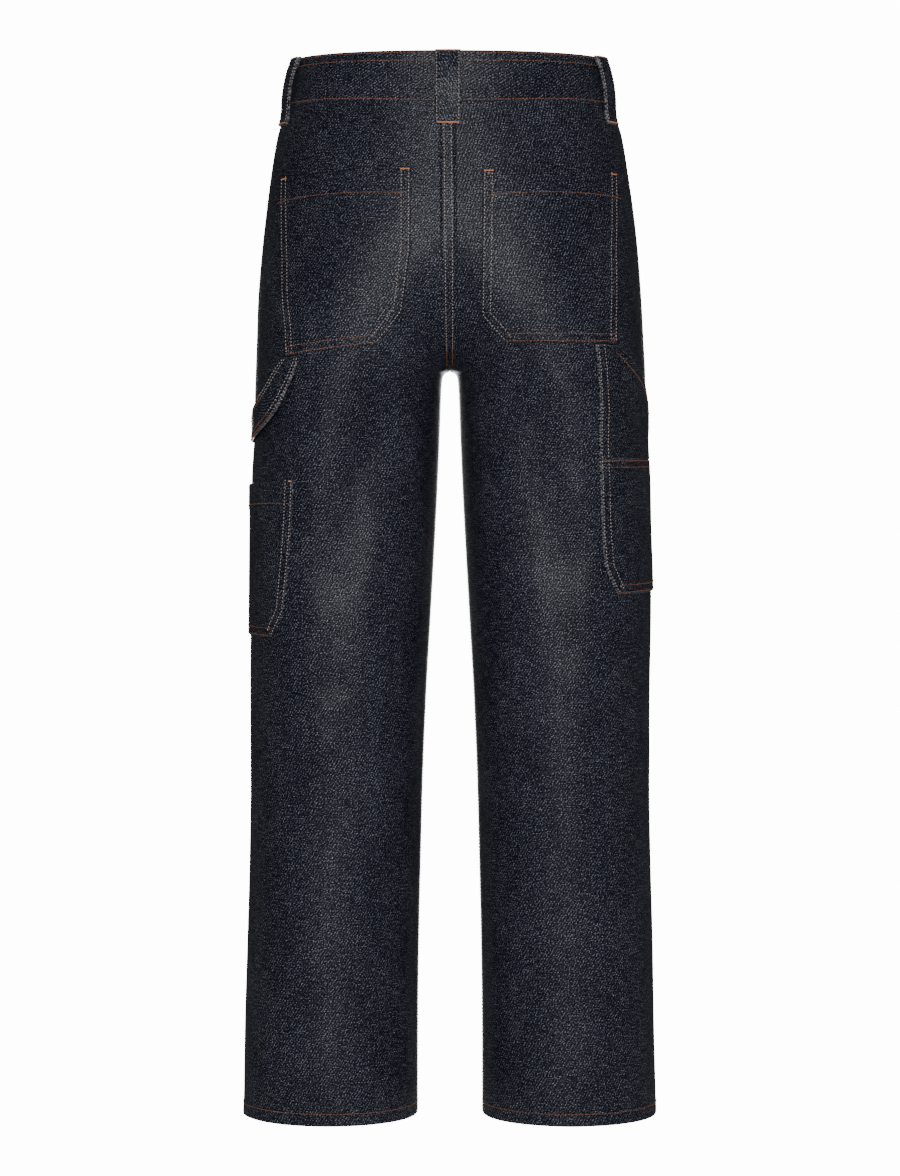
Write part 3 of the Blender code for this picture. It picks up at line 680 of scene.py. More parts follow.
def even(line, step=0.002):
    """The same line with places every few millimetres."""
    far = np.concatenate([[0], np.cumsum(np.linalg.norm(np.diff(line, axis=0), axis=1))])
    at = np.linspace(0, far[-1], max(2, int(far[-1] / step)))
    return np.stack([np.interp(at, far, line[:, k]) for k in range(line.shape[1])], axis=1)


def on_even(side, line, lift):
    """Sewing along an even line on one side's form: its places and the way out of the cloth there."""
    return lifted(side, line[:, 0], line[:, 1], lift), way_out(side, line[:, 0], line[:, 1])


def on_cloth(side, line, lift):
    """Sewing along any line on one side's form."""
    return on_even(side, even(line), lift)


def on_grid(grid, rows, columns, centre=(0.0, 0.0)):
    """A line of sewing on a piece's own grid, at shares of its rows and columns."""
    rows, columns = np.broadcast_arrays(np.asarray(rows, float), np.asarray(columns, float))
    r, c = rows * (grid.shape[0] - 1), columns * (grid.shape[1] - 1)
    i = np.clip(r.astype(int), 0, grid.shape[0] - 2)
    j = np.clip(c.astype(int), 0, grid.shape[1] - 2)
    s, t = (r - i)[:, None], (c - j)[:, None]
    a, b, d, e = grid[i, j], grid[i, j + 1], grid[i + 1, j], grid[i + 1, j + 1]
    places = (a * (1 - t) + b * t) * (1 - s) + (d * (1 - t) + e * t) * s
    out = np.cross(d - a, b - a)
    out = out / np.maximum(np.linalg.norm(out, axis=1, keepdims=True), 1e-12)
    away = places - np.array([centre[0], centre[1], 0])
    away[:, 2] = 0
    return places, out * np.sign((out * away).sum(axis=1, keepdims=True))


# One stitch: share of its length from its middle, share of its thickness, and how far it stands up, in mm
StitchRing = namedtuple("StitchRing", "along thick rise")
STITCH = [
    StitchRing(-1.0, 0.0, -0.35),
    StitchRing(-0.75, 0.75, 0.05),
    StitchRing(0.0, 1.0, 0.22),
    StitchRing(0.75, 0.75, 0.05),
    StitchRing(1.0, 0.0, -0.35),
]


def stitches(name, runs, finishes, pitch=STITCH_PITCH, thick=0.00034, across=0.0):
    """Rows of stitches as small bent lengths of thread. finishes are the thread's looks in level and in steep
    rows; steep rows are shorter and paler, and their paler colour is painted highlight, the same thread where
    it catches the light. across is the width of a bar tack's own stitches."""
    starts, stops, ways = [], [], []
    for places, out in runs:
        far = np.concatenate([[0], np.cumsum(np.linalg.norm(np.diff(places, axis=0), axis=1))])
        holes = np.arange(0, far[-1], pitch)
        if len(holes) < 2:
            continue
        at = np.stack([np.interp(holes, far, places[:, k]) for k in range(3)], axis=1)
        up = np.stack([np.interp(holes[:-1] + pitch / 2, far, out[:, k]) for k in range(3)], axis=1)
        up = up / np.linalg.norm(up, axis=1, keepdims=True)
        a, b = at[:-1], at[1:]
        if across:
            sideways = np.cross(b - a, up)
            sideways = sideways / np.linalg.norm(sideways, axis=1, keepdims=True) * across / 2
            middle, slant = (a + b) / 2, (b - a) * 0.35
            a, b = middle - sideways - slant, middle + sideways + slant
        starts.append(a)
        stops.append(b)
        ways.append(up)
    a, b, up = (np.concatenate(part) for part in (starts, stops, ways))
    middle, half = (a + b) / 2, (b - a) / 2
    along = half / np.linalg.norm(half, axis=1, keepdims=True)
    steep = np.abs(along[:, 2]) > 0.6
    if not across:
        half = half * np.where(steep, STEEP_FILL, LEVEL_FILL)[:, None]
    over = np.cross(along, up)
    rings = []
    for ring in STITCH:
        centre = middle + half * ring.along + up * ring.rise / 1000
        if ring.thick == 0:
            rings.append(centre[:, None])
            continue
        turn = np.arange(STITCH_SIDES) * 2 * np.pi / STITCH_SIDES
        round_it = np.cos(turn)[None, :, None] * over[:, None] + np.sin(turn)[None, :, None] * up[:, None]
        rings.append(centre[:, None] + round_it * thick * ring.thick)
    verts = np.concatenate(rings, axis=1)
    each = verts.shape[1]
    faces = []
    for k in range(STITCH_SIDES):
        n = (k + 1) % STITCH_SIDES
        last = 1 + 2 * STITCH_SIDES
        faces.append((0, 1 + n, 1 + k, 1 + k))
        for low in (1, 1 + STITCH_SIDES):
            faces.append((low + k, low + n, low + STITCH_SIDES + n, low + STITCH_SIDES + k))
        faces.append((last + k, last + n, each - 1, each - 1))
    offset = (np.arange(len(verts)) * each)[:, None, None]
    every = (np.array(faces)[None] + offset).reshape(-1, 4).tolist()
    every = [f[:3] if f[2] == f[3] else f for f in every]
    mesh = bpy.data.meshes.new(name)
    mesh.from_pydata(verts.reshape(-1, 3).tolist(), [], every)
    for finish in finishes:
        mesh.materials.append(finish)
    # Steep stitches take the second finish, whose pale colour is painted highlight
    if len(finishes) > 1:
        mesh.polygons.foreach_set("material_index", np.repeat(steep, len(faces)).astype(np.int32))
    mesh.shade_smooth()
    return show(bpy.data.objects.new(name, mesh), [])


def colour(code):
    """An sRGB hex colour as the linear values that a shader takes."""
    parts = [int(code[i : i + 2], 16) / 255 for i in (0, 2, 4)]
    return tuple(c / 12.92 if c <= 0.04045 else ((c + 0.055) / 1.055) ** 2.4 for c in parts) + (1.0,)


def add(tree, kind, inputs=None, **settings):
    """Adds a shader node with its settings and its inputs: each input is a value or a socket to link from."""
    made = tree.nodes.new("ShaderNode" + kind)
    for key, value in settings.items():
        setattr(made, key, value)
    for key, value in (inputs or {}).items():
        if isinstance(value, bpy.types.NodeSocket):
            tree.links.new(value, made.inputs[key])
        else:
            made.inputs[key].default_value = value
    return made


def surface(name, build_it, **settings):
    """A material whose Principled shader gets its base colour, roughness and bump from build_it."""
    made = bpy.data.materials.new(name)
    made.use_nodes = True
    tree = made.node_tree
    shader = tree.nodes["Principled BSDF"]
    for key, value in settings.items():
        shader.inputs[key.replace("_", " ")].default_value = value
    for key, socket in build_it(tree).items():
        tree.links.new(socket, shader.inputs[key])
    return made


def ramp(tree, value, stops):
    """A colour ramp through a few places."""
    made = add(tree, "ValToRGB", {"Fac": value})
    while len(made.color_ramp.elements) < len(stops):
        made.color_ramp.elements.new(0.5)
    for element, (at, code) in zip(made.color_ramp.elements, stops):
        element.position = at
        element.color = colour(code)
    return made.outputs["Color"]


def math(tree, operation, a, b=0.0, c=0.0):
    """One sum on values or sockets."""
    return add(tree, "Math", {0: a, 1: b, 2: c}, operation=operation).outputs[0]


def noise(tree, place, size, detail=2.0, rough=0.5):
    """Noise whose grains are size across and up the cloth, in metres."""
    scaled = add(tree, "VectorMath", {0: place, 1: (1 / size[0], 1 / size[1], 1.0)}, operation="MULTIPLY")
    inputs = {"Vector": scaled.outputs[0], "Scale": 1.0, "Detail": detail, "Roughness": rough}
    return add(tree, "TexNoise", inputs, noise_dimensions="2D").outputs[0]


def denim(name, turned=False, bright=1.0, weft_side=False, white_folds=0.10):
    """Unwashed 14 oz right-hand twill: indigo warp over an undyed weft. The twill lines climb to the right at
    58 degrees. Real ones are 0.9 mm apart; they are drawn TWILL_ACROSS apart so that they still read at the
    picture's 1 mm pixels. The weft shows between them as pale flecks, which gives the salt-and-pepper look,
    and uneven yarn gives faint slubs along the weft. The starched face has a soft gloss, which draws a pale
    band down the middle of each leg. turned lays the warp along the piece; white_folds is how much bare yarn
    shows where the cloth is folded hard.
    """

    def weave(tree):
        place = add(tree, "UVMap", uv_map="cloth").outputs[0]
        if turned:
            apart = add(tree, "SeparateXYZ", {0: place}).outputs
            back_to_front = math(tree, "MULTIPLY", apart[0], -1.0)
            place = add(tree, "CombineXYZ", {0: apart[1], 1: back_to_front}).outputs[0]
        wobble = noise(tree, place, (0.006, 0.006))
        lines = (2 * np.pi / TWILL_ACROSS, -2 * np.pi / (TWILL_ACROSS * TWILL_CLIMB), 0)
        phase = add(tree, "VectorMath", {0: place, 1: lines}, operation="DOT_PRODUCT").outputs["Value"]
        twill = math(tree, "SINE", math(tree, "MULTIPLY_ADD", wobble, 4.0, phase))
        fleck = noise(tree, place, (0.0012, 0.0011), detail=1.0)
        slub = noise(tree, place, (0.014, 0.0012), detail=1.0)
        streak = noise(tree, place, (0.0022, 0.060), detail=1.0)
        cloudy = noise(tree, place, (0.050, 0.070))
        tone = math(tree, "MULTIPLY_ADD", twill, 0.070, fleck)
        for uneven, share in ((slub, 0.22), (streak, 0.05), (cloudy, 0.08)):
            tone = math(tree, "MULTIPLY_ADD", math(tree, "SUBTRACT", uneven, 0.5), share, tone)
        base = ramp(tree, tone, WEFT_STOPS if weft_side else WARP_STOPS)
        edge = add(tree, "Attribute", attribute_name="edge").outputs["Fac"]
        fold = add(tree, "MapRange", {0: edge, 1: 0.0004, 2: 0.0017, 3: 1.0, 4: 0.0}).outputs[0]
        bare = noise(tree, place, (0.0012, 0.0012), detail=0.0)
        showing = add(tree, "MapRange", {0: bare, 1: 0.50, 2: 0.62, 3: 0.0, 4: white_folds}).outputs[0]
        worn = math(tree, "MULTIPLY", fold, showing)
        base = add(tree, "Mix", {0: worn, 6: base, 7: colour("a3a4a7")}, data_type="RGBA").outputs[2]
        if bright != 1.0:
            scale = (bright, bright, bright)
            base = add(tree, "VectorMath", {0: base, 1: scale}, operation="MULTIPLY").outputs[0]
        gloss = add(tree, "MapRange", {0: tone, 1: 0.36, 2: 0.66, 3: 0.03, 4: 0.27}).outputs[0]
        yarn = add(tree, "Bump", {"Strength": 0.12, "Distance": 0.0002, "Height": tone}).outputs[0]
        near = add(tree, "MapRange", {0: edge, 1: 0.002, 2: 0.016, 3: 1.0, 4: 0.0}).outputs[0]
        pucker = math(tree, "MULTIPLY", noise(tree, place, (0.007, 0.009), detail=1.0), near)
        drawn = {"Strength": 0.5, "Distance": 0.0012, "Height": pucker, "Normal": yarn}
        normal = add(tree, "Bump", drawn).outputs[0]
        return {"Base Color": base, "Specular IOR Level": gloss, "Normal": normal}

    return surface(name, weave, Roughness=0.45)


def thread_finish(name, dark, light, shine=0.55):
    """Spun polyester topstitching thread, dyed copper, two plies twisted: the tone that comes and goes along
    it is painted shade and light of the twist.
    """

    def plies(tree):
        place = add(tree, "TexCoord").outputs["Object"]
        fine = (900.0, 900.0, 900.0)
        scaled = add(tree, "VectorMath", {0: place, 1: fine}, operation="MULTIPLY").outputs[0]
        twist = add(tree, "TexNoise", {"Vector": scaled, "Scale": 1.0, "Detail": 1.0}).outputs[0]
        # The ramp's dark and light ends are painted shade and light of the twisted plies
        base = ramp(tree, twist, [(0.32, dark), (0.68, light)])
        bump = add(tree, "Bump", {"Strength": 0.3, "Distance": 0.0002, "Height": twist}).outputs[0]
        return {"Base Color": base, "Normal": bump}

    return surface(name, plies, Roughness=shine, Specular_IOR_Level=0.4)


def brass_finish(name):
    """Stamped brass, tumbled with a dark wash that stays in its low places: a warm, soft, uneven shine."""

    def wash(tree):
        place = add(tree, "TexCoord").outputs["Object"]
        grain = add(tree, "TexNoise", {"Vector": place, "Scale": 420.0, "Detail": 3.0}).outputs[0]
        base = ramp(tree, grain, [(0.35, "5e452b"), (0.6, "8f6c42")])
        rough = add(tree, "MapRange", {0: grain, 3: 0.28, 4: 0.5}).outputs[0]
        return {"Base Color": base, "Roughness": rough}

    return surface(name, wash, Metallic=1.0)


def paper_finish(name, glow=0.0):
    """Matt white studio paper, lit from behind where glow is above 0."""

    def plain(tree):
        place = add(tree, "TexCoord").outputs["Object"]
        fibre = add(tree, "TexNoise", {"Vector": place, "Scale": 60.0, "Detail": 2.0}).outputs[0]
        return {"Base Color": ramp(tree, fibre, [(0.3, "e9e9e8"), (0.7, "ececeb")])}

    white = colour("ffffff")
    return surface(
        name, plain, Roughness=0.9, Specular_IOR_Level=0.1, Emission_Color=white, Emission_Strength=glow
    )


def waistband_piece(finishes):
    """The band from its left end, round the back, to the underlap. Returns its outer grid."""
    stations = []
    share = np.linspace(0, 1, BAND_STEPS)
    first, last = (float(v) for v in ends(1, BAND_SEAM))
    stations += [(1, last + (first - last) * t) for t in share]
    first, last = (float(v) for v in ends(-1, BAND_SEAM))
    stations += [(-1, first + (last - first) * t) for t in share[1:]]
    last = float(ends(1, BAND_SEAM)[1])
    stations += [(1, last - UNDERLAP * t) for t in np.linspace(0, 1, 24)[1:]]
    up = close_to_edges(14, width=BAND_TOP - BAND_SEAM)
    outer, inner, flat = [], [], []
    along = 0.0
    for number, (side, length) in enumerate(stations):
        under = number >= 2 * BAND_STEPS - 1
        x = abs(float(on_form(side, length, BAND_SEAM)[0]))
        seam = float(band_seam(x, float(length < 0)))
        height = seam + (BAND_TOP - seam) * up
        tuck = 1.0 if under else 0.0
        if side < 0 and length > 0:
            tuck = float(smooth(1 - x / UNDERLAP_RAMP))
        lift = BAND_PROUD - tuck * (BAND_CLOTH + SEAM_GAP)
        scale = along_scale(side, length, height)
        edge = np.minimum(height - seam, BAND_TOP - height)
        round_over = rounded(edge, BAND_CLOTH / 2, 0.002) - BAND_CLOTH / 2
        outer.append(lifted(side, length * scale, height, lift + round_over))
        inner.append(lifted(side, length * scale, height, lift - BAND_CLOTH - round_over))
        if number:
            along += float(np.linalg.norm(outer[-1][8] - outer[-2][8]))
        flat.append(pair(np.full(len(up), -along), height))
    outer, inner, flat = (np.stack(part, axis=1) for part in (outer, inner, flat))
    edge = pieces_edge(flat[..., 0], flat[..., 1])
    piece = shell("waistband_cloth", outer, inner, flat, edge, finishes)
    show(piece, ["waistband"])
    declare(piece, flat[..., 0], flat[..., 1], SEAM_ALLOWANCE)
    return outer


def loop_piece(name, node, side, middle, finishes):
    """A belt loop over the band: a strip folded to its middle behind, ends turned under. Returns its grid."""
    rows = through(BELT_LOOP, 60)
    share = across_strip(LOOP_WIDTH)
    across = LOOP_WIDTH * (share - 0.5)
    flat = pair(across[None, :], rows[:, :1])
    edge = pieces_edge(flat[..., 0], flat[..., 1])
    thick = rounded(edge, rows[:, 2:3], 0.0013)
    crown = 0.0006 * np.sin(np.pi * share)[None, :] * smooth(rows[:, 1:2] / 0.004)
    if side:
        length = middle + across[None, :] + 0 * rows[:, :1]
        height = BAND_SEAM + rows[:, :1] + 0 * length
        outer = lifted(side, length, height, rows[:, 1:2] + thick + crown)
        inner = lifted(side, length, height, rows[:, 1:2] + crown)
        flat = flat * np.array([-side, 1])
    else:
        columns = []
        for number, x in enumerate(middle + across):
            own = 1 if x > 0 else -1
            seam = band_seam(x, 1.0)
            height = seam + rows[:, 0] * (BAND_TOP - seam) / (BAND_TOP - BAND_SEAM)
            length = length_at_x(own, np.full(len(rows), abs(x)), height)
            rise = rows[:, 1] + crown[:, number]
            low = lifted(own, length, height, rise)
            columns.append((lifted(own, length, height, rise + thick[:, number]), low))
        outer = np.stack([c[0] for c in columns], axis=1)
        inner = np.stack([c[1] for c in columns], axis=1)
    piece = shell(name, outer, inner, flat, edge, finishes)
    show(piece, [node])
    declare(piece, flat[..., 0], flat[..., 1], LOOP_WIDTH / 2)
    return outer


def strap_piece(finishes):
    """The hammer loop: a folded strip from the pocket's lower corner to the outseam. Returns its grid."""
    rows = through(HAMMER_LOOP, 110)
    share = across_strip(STRAP_WIDTH)[None, :]
    length = rows[:, 0:1] * (1 - share) + rows[:, 2:3] * share
    height = rows[:, 1:2] * (1 - share) + rows[:, 3:4] * share
    edge = pieces_edge(length, height)
    lift = np.maximum(rows[:, 4:5], PATCH_GAP)
    bow = 0.0012 * np.sin(np.pi * share) * smooth((rows[:, 4:5] - 0.002) / 0.004)
    outer = lifted(1, length, height, lift + bow + rounded(edge, STRAP_CLOTH))
    inner = lifted(1, length, height, lift + bow)
    far = np.concatenate([[0], np.cumsum(np.linalg.norm(np.diff(outer[:, 8], axis=0), axis=1))])
    flat = pair(STRAP_WIDTH * share, far[:, None])
    piece = shell("hammer_loop_cloth", outer, inner, flat, edge, finishes)
    show(piece, ["hammer_loop"])
    declare(piece, flat[..., 0], flat[..., 1], STRAP_WIDTH / 2)
    return outer


def facing_piece(side, word, finishes):
    """The piece seen in a front pocket's curved mouth."""
    top = BAND_SEAM - HAIR
    height = (top - SCOOP_HEIGHT * np.linspace(0, 1.15, 34))[:, None]
    share = np.linspace(0, 1, 36)[None, :]
    length = OUTSEAM * (1 - share) + (OUTSEAM + scoop(height) + SCOOP_TUCK) * share
    height = height + 0 * length
    outer = lifted(side, length, height, -BEHIND)
    inner = lifted(side, length, height, -BEHIND - CLOTH)
    name = f"front_pocket_facing_{word}"
    edge = np.full(length.shape, 0.02)
    piece = shell(f"{name}_cloth", outer, inner, pair(-side * length, height), edge, finishes)
    show(piece, [name])
    declare(piece, length, height, 0.0)


def shield_piece(finishes):
    """The strip behind the front opening."""
    heights = np.linspace(BAND_SEAM - HAIR, SHIELD_END, 40)
    across = np.concatenate([np.linspace(-SHIELD_RIGHT, -HAIR, 8), np.linspace(HAIR, SHIELD_LEFT, 10)])
    grids = []
    for depth in (BEHIND, BEHIND + CLOTH):
        columns = []
        for x in across:
            side = 1 if x > 0 else -1
            columns.append(lifted(side, ends(side, heights)[1] - abs(x), heights, -depth))
        grids.append(np.stack(columns, axis=1))
    flat = pair(across[None, :], heights[:, None])
    edge = pieces_edge(flat[..., 0], flat[..., 1])
    piece = shell("fly_shield_cloth", grids[0], grids[1], flat, edge, finishes)
    show(piece, ["fly_shield"])
    declare(piece, flat[..., 0], flat[..., 1], SEAM_ALLOWANCE)


def fine_rows(rows, count):
    """Rows laid along a table's rows, evenly down the piece and finer at its two ends."""
    table = np.array(rows) / 1000
    far = np.concatenate([[0], np.cumsum(np.linalg.norm(np.diff(table[:, :2], axis=0), axis=1))])
    at = far[-1] * close_to_edges(count, width=far[-1])
    at = np.sort(np.concatenate([at, far[1:-1]]))
    return np.stack([np.interp(at, far, table[:, k]) for k in range(table.shape[1])], axis=1)


def back_pocket_piece(side, word, finishes):
    """A back pocket. Returns its lengths and heights."""
    rows = fine_rows(BACK_POCKETS[side], 58)
    inner = length_at_x(side, rows[:, 0], rows[:, 1])
    share = close_to_edges(50, width=0.14)[None, :]
    length = inner[:, None] * (1 - share) + rows[:, 2:3] * share
    height = rows[:, 1:2] * (1 - share) + rows[:, 3:4] * share
    name = f"back_pocket_{word}"
    piece = patch(f"{name}_cloth", name, side, length, height, finishes, hem=HEM_RAISE)
    declare(piece, length, height, SEAM_ALLOWANCE)
    return length, height


def leg_pocket_piece(side, node, table, finishes, hem=HEM_RAISE):
    """A pocket whose front edge is caught in the outseam. Returns its lengths and heights."""
    rows = fine_rows(table, 52)
    share = close_to_edges(44, width=0.14)[None, :]
    length = rows[:, 0:1] * (1 - share) + (OUTSEAM - HAIR) * share
    height = rows[:, 1:2] * (1 - share) + rows[:, 2:3] * share
    piece = patch(f"{node}_cloth", node, side, length, height, finishes, hem=hem)
    declare(piece, length, height, SEAM_ALLOWANCE)
    return length, height


def tool_upper_piece(finishes):
    """The tool pocket's upper piece, from its slanted mouth to the joint. Returns its lengths and heights."""
    joint = TOOL_JOINT / 1000 + HAIR
    down = close_to_edges(34, width=0.10)[:, None]
    start = (TOOL_TOP_BACK + (TOOL_LOWER[0].back_round - TOOL_TOP_BACK) * down) / 1000
    share = close_to_edges(46, width=0.15)[None, :]
    length = start * (1 - share) + (OUTSEAM - HAIR) * share
    mouth = np.array(TOOL_MOUTH) / 1000
    top = np.interp(length, mouth[:, 0], mouth[:, 1])
    height = top * (1 - down) + joint * down
    piece = patch("tool_pocket_upper_cloth", "tool_pocket_upper", -1, length, height, finishes, hem=HEM_RAISE)
    declare(piece, length, height, SEAM_ALLOWANCE)
    return length, height


def indexed(at, shares):
    """Where shares of a piece's width lie, as shares of its grid's own uneven columns."""
    return np.interp(at, shares, np.linspace(0, 1, len(shares)))


def pocket_edge(length, height, whole=True):
    """A pocket's sewn edge on the flat cloth: down its inner edge, along the bottom and, if whole, up."""
    down = pair(length[:, 0], height[:, 0])
    across = pair(length[-1, 1:], height[-1, 1:])
    up = pair(length[-2::-1, -1], height[-2::-1, -1])
    return np.concatenate([down, across, up] if whole else [down, across])


def on_hem(side, line, mouth, lift, hem):
    """A line of sewing that climbs onto the turned hem where it comes near a pocket's mouth."""
    line = even(line)
    down = np.interp(line[:, 0], mouth[:, 0], mouth[:, 1]) - line[:, 1]
    return on_even(side, line, lift + hem * (1 - smooth((down - HEM_DEPTH) / 0.002)))


def sew_pocket(side, length, height, whole, rows, hem_dip, lift):
    """The double row round a pocket and the row along its mouth's hem. Returns the line of the mouth."""
    line = pocket_edge(length, height, whole)
    mouth = pair(length[0], height[0])
    hem = 0 if hem_dip is None else HEM_RAISE
    for distance in (FIRST_ROW, SECOND_ROW):
        rows.append(on_hem(side, inset(line, distance), mouth, lift, hem))
    if hem:
        share = np.linspace(-1, 1, len(mouth))
        low = mouth - pair(0 * share, HEM_ROW + hem_dip * share**2)
        rows.append(on_cloth(side, low[1:-1], lift + hem))
    return mouth


def corner_tack(side, mouth, start, stop, lift):
    """A bar tack along a pocket's mouth, from one distance along it to another."""
    far = np.concatenate([[0], np.cumsum(np.linalg.norm(np.diff(mouth, axis=0), axis=1))])
    if start < 0:
        start, stop = far[-1] + start, far[-1] + stop
    at = np.linspace(min(start, stop), max(start, stop), 12)
    line = np.stack([np.interp(at, far, mouth[:, k]) for k in (0, 1)], axis=1)
    line[:, 1] -= TACK_WIDTH / 2
    return on_cloth(side, line, lift)


def sew_loop(grid, rows, tacks):
    """Both long edges of a belt loop and the tacks at its ends."""
    share = across_strip(LOOP_WIDTH)
    down = np.linspace(0.01, 0.99, 60)
    for at in LOOP_ROWS:
        rows.append(on_grid(grid, down, indexed(at, share)))
    for row in LOOP_TACKS:
        tacks.append(on_grid(grid, row, indexed(np.linspace(0.06, 0.94, 14), share)))


def button_piece(finish):
    """The shank button: a domed cap with a rolled rim and a sunk ring, turned about its own axis."""
    last = float(ends(1, 0.0)[1])
    centre = lifted(1, last - BUTTON_X, 0.0, BAND_PROUD + BUTTON_GAP)
    turn = np.linspace(0, 2 * np.pi, BUTTON_SIDES, endpoint=False)
    verts, faces = [], []
    for row in BUTTON:
        for a in turn:
            x, z = row.radius / 1000 * np.cos(a), row.radius / 1000 * np.sin(a)
            verts.append((centre[0] + x, centre[1] - row.rise / 1000, centre[2] + z))
    for low in range(0, len(verts) - BUTTON_SIDES, BUTTON_SIDES):
        for n in range(BUTTON_SIDES):
            m = (n + 1) % BUTTON_SIDES
            faces.append((low + n, low + m, low + BUTTON_SIDES + m, low + BUTTON_SIDES + n))
    mesh = bpy.data.meshes.new("waist_button_cap")
    mesh.from_pydata(verts, [], faces)
    bm = bmesh.new()
    bm.from_mesh(mesh)
    bmesh.ops.remove_doubles(bm, verts=bm.verts[:], dist=1e-6)
    bmesh.ops.recalc_face_normals(bm, faces=bm.faces[:])
    bm.to_mesh(mesh)
    bm.free()
    mesh.materials.append(finish)
    mesh.shade_smooth()
    show(bpy.data.objects.new("waist_button_cap", mesh), ["waist_button"])


def sew_centre_back(rows):
    """The double row down the felled seam, which drifts a little to one side on its way down."""
    top, low = BAND_SEAM - 0.004, CROTCH + 0.004
    down = np.linspace(top, low, 160)
    drift = FELL_DRIFT * (top - down) / (top - low)
    for side, x in FELL_ROWS:
        at = np.abs(side * x - drift)
        rows.append(on_cloth(side, pair(length_at_x(side, at, down), down), FELL_RAISE))


def sew_leg(side, rows):
    """One leg's hem, the double row down its inseam and the one round its front pocket's mouth."""
    start, stop = ends(side, HEM + HEM_TURN)
    for first, last in ((float(start) + 0.001, OUTSEAM - 0.001), (OUTSEAM + 0.001, float(stop) - 0.001)):
        rows.append(on_cloth(side, pair(np.linspace(first, last, 140), HEM + HEM_TURN), 0.0))
    inseam = np.linspace(CROTCH - 0.008, HEM + 0.003, 300)
    mouth = BAND_SEAM - SCOOP_HEIGHT * np.sin(np.linspace(0.02, 1, 60) * np.pi / 2)
    for distance in (FIRST_ROW, SECOND_ROW):
        rows.append(on_cloth(side, pair(ends(side, inseam)[1] - distance, inseam), 0.0))
    for distance in (FIRST_ROW, SECOND_ROW):
        rows.append(on_cloth(side, inset(pair(OUTSEAM + scoop(mouth), mouth), distance), 0.0))


def sew_fly(rows):
    """The double J-shaped row that holds the fly, and the double row from its end to the crotch."""
    fly = np.linspace(BAND_SEAM - 0.002, FLY_END + FLY_WIDTH, 60)
    turn = np.linspace(0, np.pi / 2, 24)[1:]
    for distance in (FLY_WIDTH, FLY_WIDTH - SECOND_ROW + FIRST_ROW):
        low = FLY_END + FLY_WIDTH - distance * np.sin(turn)
        curve = pair(ends(1, low)[1] - distance * np.cos(turn), low)
        straight = pair(ends(1, fly)[1] - distance, fly)
        rows.append(on_cloth(1, np.concatenate([straight, curve]), 0.0010))
    front = np.linspace(FLY_END, CROTCH + 0.005, 90)
    for distance in (FIRST_ROW, SECOND_ROW):
        rows.append(on_cloth(1, pair(ends(1, front)[1] - distance, front), 0.0))


def sew_band(band, rows, tacks):
    """The band's three long rows, the one across its end, and the tacks at both ends of the buttonhole."""
    up = close_to_edges(14, width=BAND_TOP - BAND_SEAM)
    along = np.linspace(0.001, (2 * BAND_STEPS - 2) / (2 * BAND_STEPS + 21), 700)
    for height in BAND_ROWS:
        rows.append(on_grid(band, indexed(height / (BAND_TOP - BAND_SEAM), up), along))
    rows.append(on_grid(band, np.linspace(0.04, 0.96, 30), 0.0022))
    last = float(ends(1, 0.0)[1])
    for start, stop in BUTTONHOLE_TACKS:
        tacks.append(on_cloth(1, pair(np.linspace(last - start, last - stop, 12), 0.0), BAND_PROUD))


def sew_tool_pocket(lower, upper, rows, lift):
    """The double rows at the tool pocket's joint and back edge, and the row along its slanted mouth."""
    length, height = lower
    for drop in JOINT_ROWS:
        rows.append(on_cloth(-1, pair(length[0], height[0] - drop)[2:-1], lift))
    length, height = upper
    for distance in (FIRST_ROW, SECOND_ROW):
        edge = inset(pair(length[:, 0], height[:, 0]), distance)
        rows.append(on_hem(-1, edge, pair(length[0], height[0]), lift, HEM_RAISE))
    slant = np.array([place for place in TOOL_MOUTH if place.round > -100], float) / 1000
    rows.append(on_cloth(-1, inset(even(slant), -MOUTH_ROW), lift + HEM_RAISE))


